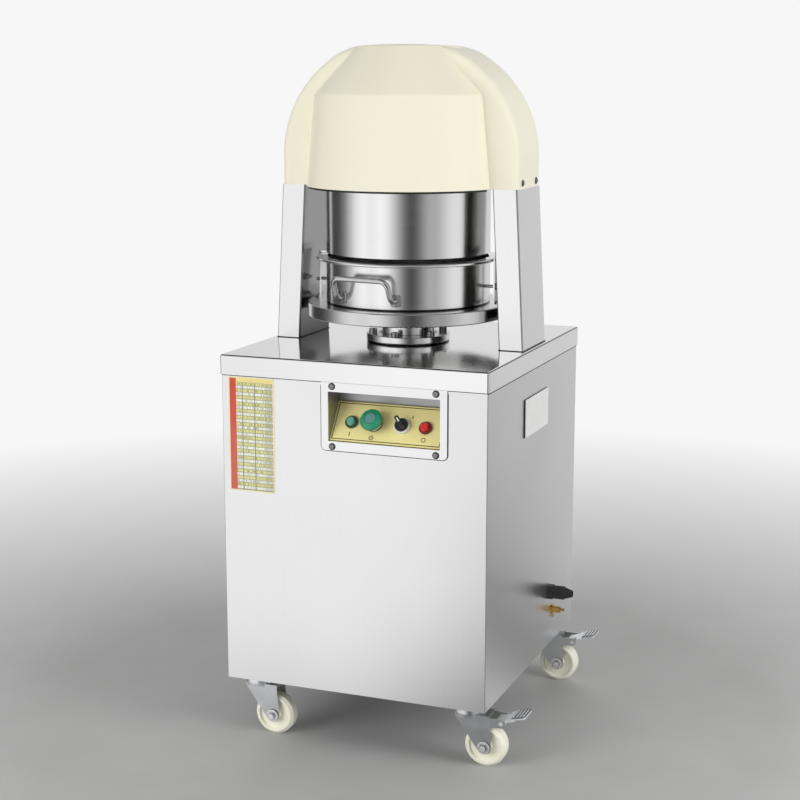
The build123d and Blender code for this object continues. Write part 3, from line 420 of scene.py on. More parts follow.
def studio_walls_group(name):
    """Bright and dark walls round the stage, by the direction in which they lie."""
    group, start, end = new_group(name, {"Vector": "Vector"}, {"Colour": "Color"})
    x, y = split(start[0])[:2]
    turn = math_node("ARCTAN2", x, times(y, -1.0))
    ramp = add_node("ShaderNodeValToRGB", {0: remap(turn, -math.pi, math.pi)})
    stops = (
        (-180, 0.64), (-158, 0.78), (-145, 0.60), (-125, 0.20), (-110, 0.05), (-93, 0.06), (-79, 0.18),
        (-67, 0.50), (-56, 0.86), (-45, 1.02), (-30, 0.93), (-16, 1.06), (-8, 0.94), (0, 0.69), (8, 0.40),
        (17, 0.13), (25, 0.05), (33, 0.12), (42, 0.30), (50, 0.46), (59, 0.42), (68, 0.56), (77, 0.72),
        (87, 0.84), (97, 0.82), (108, 0.62), (120, 0.27), (133, 0.10), (148, 0.42), (158, 0.66), (168, 0.70),
    )
    ramp.color_ramp.interpolation = "EASE"
    elements = ramp.color_ramp.elements
    while len(elements) < len(stops):
        elements.new(0.5)
    for element, (angle, level) in zip(elements, stops):
        element.position = (angle + 180) / 360
        element.color = (level, level, level * 1.01, 1.0)
    feed(end, {"Colour": ramp.outputs["Color"]})
    return group


def use_group(name, make, **inputs):
    """Outputs of a node group, which is made where it is first used."""
    group = bpy.data.node_groups.get(name) or make(name)
    return add_node("ShaderNodeGroup", inputs, node_tree=group).outputs


def brushed(place, stretch):
    return use_group("Brush marks", brush_marks_group, Vector=place, Stretch=stretch)


def grained(place, fineness=400.0):
    return use_group("Moulded grain", moulded_grain_group, Vector=place, Fineness=fineness)


def walls_towards(place):
    return use_group("Studio walls", studio_walls_group, Vector=place)["Colour"]


def clouded(grain, share, colour, haze=(0, 0, 0)):
    """Colour with a faint cloud of another in it."""
    return mix_colour(times(grain["Cloud"], share), colour, haze)


def start_material(name):
    material = bpy.data.materials.new(name)
    material.use_nodes = True
    tree = material.node_tree
    place = tree.nodes.new("ShaderNodeTexCoord").outputs["Object"]
    return material, tree.nodes["Principled BSDF"], place


def steel_finish(name, colour, roughness, stretch, spread=0.06, tint=0.06, relief=0.02, seam_and_shade_mask=None,
                 metal=1.0):
    """Metal with drawn lines along its stretched axis, slight patches in its gloss, and dark joint lines and
    painted shade where a mask asks for them.
    """
    material, shader, place = start_material(name)
    brush = brushed(place, stretch)
    drawn = mix_colour(brush["Marks"], toned(colour, 1 - tint), colour)
    # Joint lines and painted shade or shadow are darkened into the colour here.
    if seam_and_shade_mask:
        drawn = mix_colour(seam_and_shade_mask(place), drawn, (0.03, 0.03, 0.03))
    patches = math_node("MULTIPLY_ADD", brush["Patches"], spread * 0.6, roughness - spread * 0.8)
    feed(shader, {
        "Base Color": drawn,
        "Roughness": plus(times(brush["Marks"], spread), patches),
        "Normal": bumped(brush["Marks"], relief, 0.2 * mm),
        "Metallic": metal,
    })
    return material


def moulded_finish(name, colour, roughness, fineness=500.0, relief=0.04, coat=0.0, tint=0.06, specular=0.5):
    """Plastic or paint with a faint cloud in its colour and a fine grain in its skin."""
    material, shader, place = start_material(name)
    grain = grained(place, fineness)
    feed(shader, {
        "Base Color": mix_colour(grain["Cloud"], toned(colour, 1 - tint), colour),
        "Roughness": remap(grain["Cloud"], 0.0, 1.0, roughness * 0.85, roughness * 1.15),
        "Normal": bumped(grain["Grain"], relief, 0.3 * mm),
        "Coat Weight": coat,
        "Coat Roughness": 0.06,
        "Specular IOR Level": specular,
    })
    return material


def two_tone_finish(name, direction, level, low_colour, high_colour, roughness, coat=0.0):
    """Moulding whose colour changes at a level along a direction, as a lens in its ring."""
    material, shader, place = start_material(name)
    grain = grained(place)
    step = remap(dot(place, direction), level - 0.1 * mm, level + 0.1 * mm)
    feed(shader, {
        "Base Color": clouded(grain, 0.12, mix_colour(step, low_colour, high_colour)),
        "Roughness": remap(grain["Grain"], 0.3, 0.7, roughness * 0.8, roughness * 1.2),
        "Coat Weight": coat,
    })
    return material


def panel_seams_and_skirt_shadow(place):
    """Joints at the front corners, and painted shadow in a band under the lid's skirt, deeper at the sides.
    """
    low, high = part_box("front_panel")
    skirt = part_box("top_lid")[0][2]
    half_width, front_shadow_height, side_shadow_height = 0.9 * mm, 1.8 * mm, 3.4 * mm
    x, y, z = split(place)
    side = band(absolute(x), high[0], half_width)
    corner = times(side, band(y, low[1], half_width))
    level = remap(side, 0.0, 1.0, skirt - front_shadow_height, skirt - side_shadow_height)
    # The band under the skirt is painted shadow; the corner lines are dark joints.
    return largest(times(corner, 0.6), over(z, level))


def lid_edge_shade(place):
    """Painted shade along the folded edges of the lid's top."""
    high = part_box("top_lid")[1]
    x, y, z = split(place)
    half_width = 2.0 * mm
    side = band(absolute(x), high[0], half_width)
    end = band(absolute(y), high[1], half_width)
    # The rounded folds are darkened as painted shade.
    return times(largest(side, end), band(z, high[2], half_width))


def column_seams_and_shade(place):
    """Joints along the leaning corners, and painted shade on the faces turned to the pan, darkest at the
    feet.
    """
    low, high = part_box("right_column")
    x, y, z = split(place)
    half_width, face_shade, shade_height = 1.4 * mm, 2.2 * mm, 100 * mm
    across = plus(absolute(x), remap(z, low[2], high[2], 0.0, column_lean))
    inner_face = low[0] + column_lean
    outer = band(across, high[0], half_width)
    inner = band(across, inner_face, half_width)
    front = band(y, low[1], half_width)
    back = band(y, high[1], half_width)
    corner = times(largest(outer, inner), largest(front, back))
    # Painted shade on the inner faces, deepest near the feet.
    depth = remap(z, low[2], low[2] + shade_height, 0.97, 0.52)
    shade = times(band(across, inner_face, face_shade), depth)
    return largest(times(corner, 0.6), shade)


def foot_shadow_line(node_name, height):
    """Makes a mask of the lowest part of a piece, where a contact shadow is painted."""
    def mask(place):
        return under(split(place)["Z"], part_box(node_name)[0][2] + height)
    return mask


def from_axis(place, centre, outward):
    """Distance of a point from the line through the centre along the outward direction."""
    across = vector_node("SUBTRACT", place, centre)
    turned = vector_node("CROSS_PRODUCT", across, outward)
    return vector_node("LENGTH", turned, output="Value")


def ring_mask(across, up, centre, radius, half_width):
    """Thin ring about a point of the control plate."""
    side = minus(across, centre[0])
    rise = minus(up, centre[1])
    square = plus(times(side, side), times(rise, rise))
    return band(math_node("SQRT", square), radius, half_width)


def bar_mask(across, up, centre, half_width, half_height):
    """Short upright bar on the control plate."""
    return times(band(across, centre[0], half_width), band(up, centre[1], half_height))


class DIVIDER_OT_stage(bpy.types.Operator):
    """Set up the floor, the soft lamps, the pale surroundings and the camera"""

    bl_idname = "divider.stage"
    bl_label = "Stage"

    def execute(self, context):
        values = context.scene.divider_stage
        self.add_floor(values)
        self.add_world(context)
        self.add_lamps(context, values)
        camera = bpy.data.objects.new("camera", bpy.data.cameras.new("camera"))
        context.scene.collection.objects.link(camera)
        camera.data.lens = values.camera_lens
        camera.data.sensor_width = 36
        camera.location = values.camera_place
        camera.rotation_euler = (math.pi / 2 - values.camera_pitch, 0, values.camera_yaw)
        context.scene.camera = camera
        context.scene.view_settings.view_transform = "Standard"
        return {"FINISHED"}

    def add_lamps(self, context, values):
        """Soft lamps that light the dull finishes but aren't mirrored in the bright ones."""
        for name, power, place, target, width, height in (
            ("key_lamp", values.key_power, (-1.8, -2.75, 1.1), (0, -0.1, 0.75), 1.8, 2.0),
            ("fill_lamp", values.fill_power, (2.9, -0.6, 1.4), (0, 0, 0.85), 1.4, 2.0),
            ("top_lamp", values.top_power, (0.3, -0.9, 3.0), (0, 0, 0.6), 1.6, 1.6),
            ("low_lamp", values.low_power, (-0.4, -2.6, 0.3), (0, 0, 0.1), 2.4, 0.4),
            ("back_lamp", values.back_power, (-1.2, 2.7, 1.5), (0, 0, 0.9), 1.6, 1.8),
        ):
            light = bpy.data.lights.new(name, "AREA")
            light.shape = "RECTANGLE"
            light.size = width
            light.size_y = height
            light.energy = power
            lamp = bpy.data.objects.new(name, light)
            context.scene.collection.objects.link(lamp)
            lamp.location = place
            lamp.rotation_euler = (Vector(target) - Vector(place)).to_track_quat("-Z", "Y").to_euler()
            lamp.visible_glossy = False

    def add_floor(self, values):
        """Disc that fades into the backdrop for the camera and into the walls where it is mirrored."""
        deselect_all()
        bpy.ops.mesh.primitive_circle_add(vertices=96, radius=values.floor_radius, fill_type="NGON")
        floor = bpy.context.object
        floor.name = "floor"
        material, shader, place = start_material("floor_pale")
        tree = material.node_tree
        colour = values.floor_colour
        cloud = grained(place, 60.0)["Cloud"]
        feed(shader, {"Base Color": mix_colour(cloud, toned(colour, 0.94), colour), "Roughness": 0.6})
        fade_start, fade_end, mirror_end = 0.7, 2.6, 1.05
        distance = vector_node("LENGTH", place, output="Value")
        path = tree.nodes.new("ShaderNodeLightPath").outputs
        seen = path["Is Camera Ray"]
        faint = times(seen, remap(distance, fade_start, fade_end))
        mirrored = largest(path["Is Glossy Ray"], path["Is Transmission Ray"])
        mirrored = times(mirrored, remap(distance, 0.0, mirror_end))
        shown = mix_colour(seen, walls_towards(place), backdrop)
        glow = add_node("ShaderNodeEmission", {"Color": shown})
        mixed = add_node("ShaderNodeMixShader", {
            0: largest(faint, mirrored), 1: shader.outputs[0], 2: glow.outputs[0]})
        feed(tree.nodes["Material Output"], {"Surface": mixed.outputs[0]})
        floor.data.materials.append(material)

    def add_world(self, context):
        """Walls round about, an even sky above them and a dark zenith; the camera sees the backdrop."""
        world = bpy.data.worlds.new("studio")
        world.use_nodes = True
        context.scene.world = world
        tree = world.node_tree
        direction = tree.nodes.new("ShaderNodeTexCoord").outputs["Generated"]
        rise = split(direction)["Z"]
        upper = mix_colour(remap(rise, 0.25, 0.6), walls_towards(direction), (0.58, 0.58, 0.59))
        whole = mix_colour(remap(rise, 0.72, 0.92), upper, (0.20, 0.20, 0.21))
        path = tree.nodes.new("ShaderNodeLightPath").outputs
        colour = mix_colour(path["Is Camera Ray"], whole, backdrop)
        feed(tree.nodes["Background"], {"Color": colour})


class DIVIDER_OT_cabinet(bpy.types.Operator):
    """Give the cabinet's sheets, lid and columns their brushed steel"""

    bl_idname = "divider.cabinet"
    bl_label = "Cabinet sheets"

    def execute(self, context):
        values = context.scene.divider_finishes
        panel, lid = values.panel_steel, values.lid_steel
        upright, level = (700, 700, 6), (6, 700, 700)
        dress(steel_finish("panel_steel_upright", panel, 0.32, upright, tint=0.03, seam_and_shade_mask=panel_seams_and_skirt_shadow),
              "front_panel", "left_side", "right_side", "rear_panel")
        dress(steel_finish("lid_steel_level", lid, 0.10, level, spread=0.05, tint=0.03, seam_and_shade_mask=lid_edge_shade),
              "top_lid")
        dress(steel_finish("column_steel", lid, 0.20, upright, spread=0.05, tint=0.03, seam_and_shade_mask=column_seams_and_shade),
              "left_column", "right_column")
        dress(steel_finish("bezel_steel", toned(panel, 1.05), 0.30, level, tint=0.03), "control_bezel")
        # The recess gets a darker copy of the panel steel as painted shade.
        dress(steel_finish("recess_steel", toned(panel, 0.55), 0.42, level), "control_box")
        return {"FINISHED"}


class DIVIDER_OT_turned(bpy.types.Operator):
    """Give the pan, sleeve, platform, flanges, shaft and fasteners their polished steel"""

    bl_idname = "divider.turned"
    bl_label = "Turned steel"

    def execute(self, context):
        steel = context.scene.divider_finishes.turned_steel
        lines, even, fine = (4, 4, 1600), (60, 60, 60), (300, 300, 300)
        turned = {"spread": 0.04, "tint": 0.04, "relief": 0.008}
        # The feet of the pan and of the lower flange get a painted contact shadow.
        pan = {**turned, "seam_and_shade_mask": foot_shadow_line("pan", 3.0 * mm)}
        seat = {"tint": 0.04, "relief": 0.008, "seam_and_shade_mask": foot_shadow_line("lower_flange", 2.4 * mm)}
        for name, share, roughness, stretch, options, pieces in (
            ("turned_steel", 1.0, 0.19, lines, turned, ("sleeve", "upper_flange", "lift_shaft")),
            ("tray_steel", 0.78, 0.20, lines, turned, ("tray",)),
            ("pan_steel", 1.0, 0.19, lines, pan, ("pan",)),
            ("flange_steel", 0.9, 0.22, lines, seat, ("lower_flange",)),
            ("bright_bar", 0.68, 0.14, even, {}, ("pan_handle",)),
            ("foot_steel", 0.5, 0.22, even, {}, ("handle_feet",)),
            ("clamp_steel", 0.9, 0.14, even, {}, ("pan_clamps",)),
            ("fastener_steel", 0.56, 0.26, fine, {"tint": 0.2}, ("clamp_screws", "caster_bolts")),
            ("screw_steel", 0.40, 0.20, fine, {"tint": 0.3}, ("flange_bolts", "cover_screws")),
        ):
            dress(steel_finish(name, toned(steel, share), roughness, stretch, **options), *pieces)
        return {"FINISHED"}


class DIVIDER_OT_hood(bpy.types.Operator):
    """Give the hood its cream gloss moulding"""

    bl_idname = "divider.hood"
    bl_label = "Hood"

    def execute(self, context):
        cream = context.scene.divider_finishes.hood_cream
        dress(moulded_finish("hood_cream", cream, 0.36, fineness=160.0, relief=0.02, coat=0.22, tint=0.012,
                             specular=0.35), "hood")
        return {"FINISHED"}


class DIVIDER_OT_controls(bpy.types.Operator):
    """Dress the control plate, the lamps, the start button and the selector"""

    bl_idname = "divider.controls"
    bl_label = "Controls"

    def execute(self, context):
        values = context.scene.divider_finishes
        lens_depth, collar_depth = 5.5 * mm, 3.0 * mm
        centre, outward, upward = control_axes()
        dress(self.plate_finish(values.plate_gold, centre, upward), "control_plate")
        for name, lens, ring in (
            ("lamp_green", values.lens_green, (0.005, 0.05, 0.035)),
            ("lamp_red", values.lens_red, (0.16, 0.006, 0.006)),
        ):
            level = reach(name, outward) - lens_depth
            dress(two_tone_finish(f"{name}_lens", outward, level, ring, lens, 0.16, coat=0.5), name)
        dress(self.button_finish(values.button_green, values.button_disc, outward), "start_button")
        level = reach("start_collar", outward) - collar_depth
        dress(two_tone_finish("collar_pale", outward, level, pad_black, (0.72, 0.74, 0.70), 0.22, coat=0.3),
              "start_collar")
        dress(moulded_finish("ring_pale", (0.78, 0.79, 0.76), 0.2, coat=0.4), "selector_ring")
        dress(moulded_finish("knob_black", (0.016, 0.016, 0.018), 0.34, fineness=900.0, relief=0.08),
              "selector_knob")
        return {"FINISHED"}

    def button_finish(self, green, paler, outward):
        """Green moulding with a darker foot and a paler disc let into its face."""
        material, shader, place = start_material("button_green")
        grain = grained(place)
        face_depth, disc_radius, rim_radius, soft = 5.5 * mm, 9.8 * mm, 10.2 * mm, 0.2 * mm
        top = reach("start_button", outward)
        points = [vertex.co for vertex in nodes["start_button"].data.vertices]
        front = [point for point in points if outward.dot(point) > top - 1.0 * mm]
        middle = sum(front, Vector()) / len(front)
        face = top - face_depth
        step = remap(dot(place, outward), face - soft, face + soft)
        distance = from_axis(place, middle, outward)
        disc = times(remap(distance, disc_radius - soft, disc_radius + soft, 1.0, 0.0), step)
        rim = times(band(distance, rim_radius, 0.5 * mm), step)
        colour = mix_colour(step, toned(green, 0.5), green)
        colour = mix_colour(disc, colour, paler)
        colour = mix_colour(rim, colour, toned(green, 0.35))
        feed(shader, {
            "Base Color": clouded(grain, 0.1, colour),
            "Roughness": remap(grain["Grain"], 0.3, 0.7, 0.2, 0.3),
            "Coat Weight": 0.3,
        })
        return material

    def plate_finish(self, gold, centre, upward):
        """Brushed gold with a fine border and the ring and bar marks of on and off."""
        material, shader, place = start_material("plate_gold")
        brush = brushed(place, (8, 900, 900))
        across = minus(split(place)["X"], centre.x)
        up = minus(dot(place, upward), upward.dot(centre))
        low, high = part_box("control_plate")
        half_width, half_height = (high[0] - low[0]) / 2, 38 * mm
        border, border_line, ring_radius, ring_line = 3.4 * mm, 0.8 * mm, 3.6 * mm, 0.7 * mm
        edge = smaller(minus(half_width, absolute(across)), minus(half_height, absolute(up)))
        bars = ((-69, -24, 0.8, 4.0), (-27, -28, 0.7, 1.8), (11, 17, 0.8, 3.0), (41, 17, 0.8, 3.0))
        rings = ((-27, -28), (69, -24))
        ink = largest(
            band(edge, border, border_line),
            *(bar_mask(across, up, (x * mm, z * mm), half * mm, tall * mm) for x, z, half, tall in bars),
            *(ring_mask(across, up, (x * mm, z * mm), ring_radius, ring_line) for x, z in rings),
        )
        plain = mix_colour(brush["Marks"], toned(gold, 0.9), gold)
        feed(shader, {
            "Base Color": mix_colour(ink, plain, (0.05, 0.035, 0.012)),
            "Metallic": times(minus(1.0, ink), 0.20),
            "Specular IOR Level": 0.3,
            "Roughness": remap(brush["Patches"], 0.0, 1.0, 0.48, 0.58),
        })
        return material


class DIVIDER_OT_knife_head(bpy.types.Operator):
    """Dress the knives, the press plates, their carriers and the painted frame"""

    bl_idname = "divider.knife_head"
    bl_label = "Knife head"

    def execute(self, context):
        paint = context.scene.divider_finishes.frame_paint
        dress(steel_finish("knife_steel", (0.76, 0.76, 0.76), 0.2, (500, 500, 12)), "knife_grid")
        dress(moulded_finish("press_white", (0.78, 0.78, 0.75), 0.42, fineness=700.0, relief=0.06),
              "press_plates")
        dress(moulded_finish("frame_paint", paint, 0.42, fineness=350.0, relief=0.12, tint=0.15),
              "knife_carrier", "pressure_plate", "pillars", "bridge_beam", "base_plate", "corner_posts",
              "deck_plate", "jack_stand", "limit_switches", "guide_arm")
        return {"FINISHED"}


class DIVIDER_OT_drive(bpy.types.Operator):
    """Dress the screw jack, the motor and the guide parts inside the cabinet"""

    bl_idname = "divider.drive"
    bl_label = "Lift drive"

    def execute(self, context):
        cast = moulded_finish(
            "cast_blue_grey", (0.07, 0.12, 0.17), 0.45, fineness=220.0, relief=0.3, tint=0.2)
        dress(cast, "jack_gearbox", "drive_motor")
        dress(steel_finish("bush_steel", (0.60, 0.60, 0.59), 0.3, (6, 6, 800), tint=0.15), "guide_bush")
        dress(steel_finish("ground_rod", (0.62, 0.63, 0.64), 0.18, (6, 6, 1200)), "guide_rod")
        dress(self.thread_finish(), "lift_screw")
        return {"FINISHED"}

    def thread_finish(self):
        material, shader, place = start_material("thread_steel")
        # Painted shade in the thread's roots, with lighter crests.
        turns = waves(place, 52.0, "Z")
        feed(shader, {
            "Base Color": mix_colour(turns, (0.16, 0.15, 0.13), (0.55, 0.54, 0.52)),
            "Roughness": remap(turns, 0.0, 1.0, 0.45, 0.25),
            "Normal": bumped(turns, 0.8, 2.0 * mm),
            "Metallic": 1.0,
        })
        return material


class DIVIDER_OT_casters(bpy.types.Operator):
    """Dress the caster plates, forks, pedals and wheels"""

    bl_idname = "divider.casters"
    bl_label = "Casters"

    def execute(self, context):
        values = context.scene.divider_finishes
        even = (45, 45, 45)
        bright = toned(values.zinc, 1.2)
        dress(steel_finish("zinc_bright", bright, 0.28, even, spread=0.10, tint=0.10), "caster_plates")
        dress(steel_finish("zinc_plate", values.zinc, 0.36, even, spread=0.10, tint=0.14),
              *(f"{name}_fork" for name in casters))
        dress(moulded_finish("wheel_ivory", values.wheel_ivory, 0.36, fineness=420.0, relief=0.08, tint=0.10),
              *(f"{name}_wheel" for name in casters))
        for name in braked:
            dress(self.tread_finish(name, values.zinc, even), f"{name}_pedal")
        return {"FINISHED"}

    def tread_finish(self, name, zinc, stretch):
        """Plated pressing whose tread has painted shade in the grooves between its ribs."""
        material, shader, place = start_material(f"{name}_tread")
        brush = brushed(place, stretch)
        offset = vector_node("SUBTRACT", place, Vector(joints[f"{name}_brake"]["pos_m"]))
        run, climb = math.cos(pedal_slope), math.sin(pedal_slope)
        tread_start, groove_level, half_groove = 22.5 * mm, 10.0 * mm, 0.5 * mm
        tread = over(dot(offset, (run, 0, climb)), tread_start)
        # The grooves are painted dark as shade between the ribs.
        groove = times(tread, band(dot(offset, (-climb, 0, run)), groove_level, half_groove))
        plated = mix_colour(brush["Marks"], toned(zinc, 1.15), toned(zinc, 1.35))
        feed(shader, {
            "Base Color": mix_colour(groove, plated, (0.16, 0.16, 0.16)),
            "Roughness": remap(brush["Patches"], 0.0, 1.0, 0.22, 0.34),
            "Metallic": 0.55,
        })
        return material


class DIVIDER_OT_axle_trim(bpy.types.Operator):
    """Model the washers and the bolt ends on the axles of the casters"""

    bl_idname = "divider.axle_trim"
    bl_label = "Axle trim"

    def execute(self, context):
        bright = steel_finish("axle_bright", (0.84, 0.84, 0.85), 0.22, (200, 200, 200), tint=0.12, metal=0.6)
        washer = {"radius": 11.5 * mm, "depth": 1.0 * mm, "rounding": 0.5 * mm}
        bolt_end = {"radius": 5.2 * mm, "depth": 3.2 * mm, "rounding": 1.1 * mm}
        washer_sink, bolt_sink = 5.0 * mm, 0.4 * mm
        for name in casters:
            centre = Vector(joints[f"{name}_spin"]["pos_m"])
            low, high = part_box(f"{name}_fork")
            parts = []
            for stub, sink in ((washer, washer_sink), (bolt_end, bolt_sink)):
                ends = ((low[1] + sink, -1), (high[1] - sink, 1))
                spots = [(Vector((centre.x, y, centre.z)), Vector((0, side, 0))) for y, side in ends]
                parts.append(set_out(rounded_stub(**stub), spots))
            piece = join_pieces(parts)
            finish_piece(piece, f"{name}_axle_trim", f"{name}_fork", bright)
        return {"FINISHED"}


class DIVIDER_OT_seals(bpy.types.Operator):
    """Model the black seals round the bezel and under the columns' feet, and a black strip under the hood's
    round edge that stands in for the shade there
    """

    bl_idname = "divider.seals"
    bl_label = "Seals"

    def execute(self, context):
        values = context.scene.divider_fittings
        width, height = values.seal_width, values.seal_height
        overlap, bezel_corner, foot_corner = width + 0.4 * mm, 8 * mm, 3 * mm
        rubber = moulded_finish(
            "seal_rubber", (0.012, 0.012, 0.012), 0.5, fineness=900.0, relief=0.1, tint=0.3)
        low, high = corners("control_bezel")
        grow = Vector((width, 0, width))
        thin = Vector((0, 1.1 * mm, 0))
        seals = {"bezel_seal": self.frame(low - grow + thin, high + grow, 1, bezel_corner, overlap)}
        for side in ("left", "right"):
            low, high = corners(f"{side}_column")
            if side == "left":
                high.x -= column_lean
            else:
                low.x += column_lean
            high.z = low.z + height
            grow = Vector((width, width, 0))
            seals[f"{side}_column_seal"] = self.frame(low - grow, high + grow, 2, foot_corner, overlap)
        # Painted shade: a dark strip where the sleeve's top lies in the hood's shade.
        seals["hood_lip_seal"] = self.lip(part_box("hood")[0][2])
        for name, piece in seals.items():
            finish_piece(piece, name, "cabinet", rubber)
        return {"FINISHED"}

    def lip(self, level):
        """Black strip under the edge of the hood's round front, standing in for the shade over the sleeve's
        top.
        """
        radius, depth, drop = 185.5 * mm, 4.4 * mm, 1.4 * mm
        thickness, back_end, rounding = 2.4 * mm, -62 * mm, 0.6 * mm
        deselect_all()
        bpy.ops.mesh.primitive_cylinder_add(vertices=160, radius=radius, depth=depth, end_fill_type="NOTHING",
                                            location=(0, 0, level - drop))
        strip = bpy.context.object
        apply_place()
        pick_faces(strip, lambda face: face.center.y > back_end)
        bpy.ops.mesh.delete(type="FACE")
        leave_edit()
        strip.modifiers.new("thickness", "SOLIDIFY").thickness = thickness
        bpy.ops.object.modifier_apply(modifier="thickness")
        bevel_edges(strip, lambda a, b: max(a.z, b.z) < level - 3.0 * mm, rounding, 2)
        settle(strip)
        return strip

    def frame(self, low, high, axis, corner, width):
        """Flat frame between two corners of its box, open along one axis, with rounded corners."""
        piece = rounded_box(low, high, axis, corner + width)
        pick_faces(piece, lambda face: abs(face.normal[axis]) > 0.9)
        bpy.ops.mesh.inset(thickness=width, depth=0.0)
        bpy.ops.mesh.bridge_edge_loops()
        leave_edit()
        settle(piece)
        return piece


class DIVIDER_OT_side_fittings(bpy.types.Operator):
    """Dress the cable gland and the earth stud on the right side"""

    bl_idname = "divider.side_fittings"
    bl_label = "Side fittings"

    def execute(self, context):
        material, shader, place = start_material("gland_black")
        grain = grained(place, 900.0)
        feed(shader, {
            "Base Color": mix_colour(grain["Cloud"], (0.010, 0.010, 0.011), (0.022, 0.022, 0.024)),
            "Roughness": remap(grain["Grain"], 0.3, 0.7, 0.32, 0.5),
            "Normal": bumped(waves(place, 90.0, "X"), 0.7, 1.2 * mm),
        })
        dress(material, "cable_gland")
        dress(steel_finish("stud_brass", (0.74, 0.49, 0.14), 0.24, (700, 9, 9), tint=0.18), "earth_stud")
        return {"FINISHED"}


class DIVIDER_OT_chart_plate(bpy.types.Operator):
    """Model the weight chart on the front and print its bare rows and columns"""

    bl_idname = "divider.chart_plate"
    bl_label = "Weight chart"

    def execute(self, context):
        values = context.scene.divider_plates
        low, high = values.chart_low, values.chart_high
        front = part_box("front_panel")[0][1]
        piece = thin_plate(Vector((low[0], front - values.thickness, low[1])),
                           Vector((high[0], front, high[1])), 1, -1, values.corner)
        finish = self.print_finish(low, high, values.chart_rows)
        finish_piece(piece, "weight_chart", "cabinet", finish)
        return {"FINISHED"}

    def print_finish(self, low, high, count):
        material, shader, place = start_material("chart_print")
        parts = split(place)
        across = remap(parts["X"], low[0], high[0])
        up = remap(parts["Z"], low[1], high[1])
        table_top, red_strip, last_column, margin_width = 0.955, 0.17, 0.80, 2.4 * mm
        rows = times(remap(up, 0.02, table_top), count)
        within_row = math_node("FRACT", rows)
        odd = over(math_node("FRACT", times(rows, 0.5)), 0.5)
        cell = mix_colour(odd, (0.84, 0.84, 0.76), (0.72, 0.68, 0.24))
        printed = mix_colour(band(within_row, 0.5, 0.36), (0.33, 0.33, 0.20), cell)
        along_row = {0: times(across, 34.0), 1: math_node("FLOOR", rows)}
        entry = noise(add_node("ShaderNodeCombineXYZ", along_row).outputs[0], 1.7, 1.0)
        dash = times(over(entry, 0.54), band(within_row, 0.5, 0.26))
        columns = largest(*(band(across, spot, 0.008) for spot in (0.31, 0.58)))
        side = self.inward(across, high[0] - low[0])
        rise = self.inward(up, high[1] - low[1])
        margin = under(smaller(side, rise), margin_width)
        for mask, ink in (
            (times(dash, 0.65), (0.10, 0.11, 0.07)),
            (columns, (0.12, 0.12, 0.09)),
            (times(over(across, last_column), 0.35), (0.26, 0.27, 0.20)),
            (over(up, table_top), (0.80, 0.66, 0.24)),
            (under(across, red_strip), (0.56, 0.045, 0.018)),
            (margin, (0.80, 0.74, 0.42)),
        ):
            printed = mix_colour(mask, printed, ink)
        grain = grained(place)
        feed(shader, {
            "Base Color": clouded(grain, 0.08, printed, (0.9, 0.9, 0.85)),
            "Roughness": remap(grain["Grain"], 0.3, 0.7, 0.32, 0.42),
        })
        return material

    def inward(self, share, width):
        """Distance from the nearer end of a width."""
        return times(minus(0.5, absolute(minus(share, 0.5))), width)


class DIVIDER_OT_side_plate(bpy.types.Operator):
    """Model the bare white plate on its dark pad on the right side"""

    bl_idname = "divider.side_plate"
    bl_label = "Side plate"

    def execute(self, context):
        values = context.scene.divider_plates
        low, high = values.side_low, values.side_high
        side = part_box("right_side")[1][0]
        piece = thin_plate(Vector((side, *low)), Vector((side + values.side_thickness, *high)), 0, 1,
                           values.side_corner)
        finish = two_tone_finish(
            "plate_white", (1, 0, 0), side + values.side_pad, pad_black, (0.76, 0.76, 0.75), 0.35)
        finish_piece(piece, "side_plate", "cabinet", finish)
        return {"FINISHED"}


class DIVIDER_OT_pointer(bpy.types.Operator):
    """Model the white line on the selector knob"""

    bl_idname = "divider.pointer"
    bl_label = "Selector pointer"

    def execute(self, context):
        width = context.scene.divider_fittings.pointer_width
        length, height, out, sink = 9 * mm, 0.8 * mm, 6 * mm, 0.2 * mm
        angle = math.radians(42)
        outward, upward = control_axes()[1:]
        centre = Vector(joints["selector_turn"]["pos_m"])
        along = Vector((-math.sin(angle), 0, 0)) + upward * math.cos(angle)
        top = reach("selector_knob", outward) - outward.dot(centre)
        piece = block((0, out, 0), (width, length, height))
        bevel_edges(piece, lambda a, b: min(a.z, b.z) > 0, 0.25 * mm, 2)
        turn = Matrix((along.cross(outward), along, outward)).transposed().to_4x4()
        piece.matrix_world = Matrix.Translation(centre + outward * (top - sink)) @ turn
        settle(piece)
        finish_piece(piece, "selector_pointer", "selector",
                     moulded_finish("pointer_white", (0.82, 0.82, 0.80), 0.3))
        return {"FINISHED"}


class DIVIDER_OT_rivets(bpy.types.Operator):
    """Model the rivets that hold the pan handle's feet"""

    bl_idname = "divider.rivets"
    bl_label = "Handle rivets"

    def execute(self, context):
        radius = context.scene.divider_fittings.rivet_radius
        low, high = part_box("handle_feet")
        foot_reach, foot_side, sink, spacing = 155 * mm, 56 * mm, 0.4 * mm, 7.5 * mm
        handle_turn = math.radians(-8.5)
        spots = []
        for side in (-1, 1):
            turn = handle_turn + side * math.asin(foot_side / foot_reach)
            outward = Vector((math.sin(turn), -math.cos(turn), 0))
            for rise in (-spacing, spacing):
                level = Vector((0, 0, (low[2] + high[2]) / 2 + rise))
                spots.append((outward * (foot_reach - sink) + level, outward))
        piece = set_out(rounded_stub(radius, depth=2 * mm, rounding=0.9 * mm), spots)
        finish_piece(piece, "handle_rivets", "pan", nodes["clamp_screws"].data.materials[0])
        return {"FINISHED"}


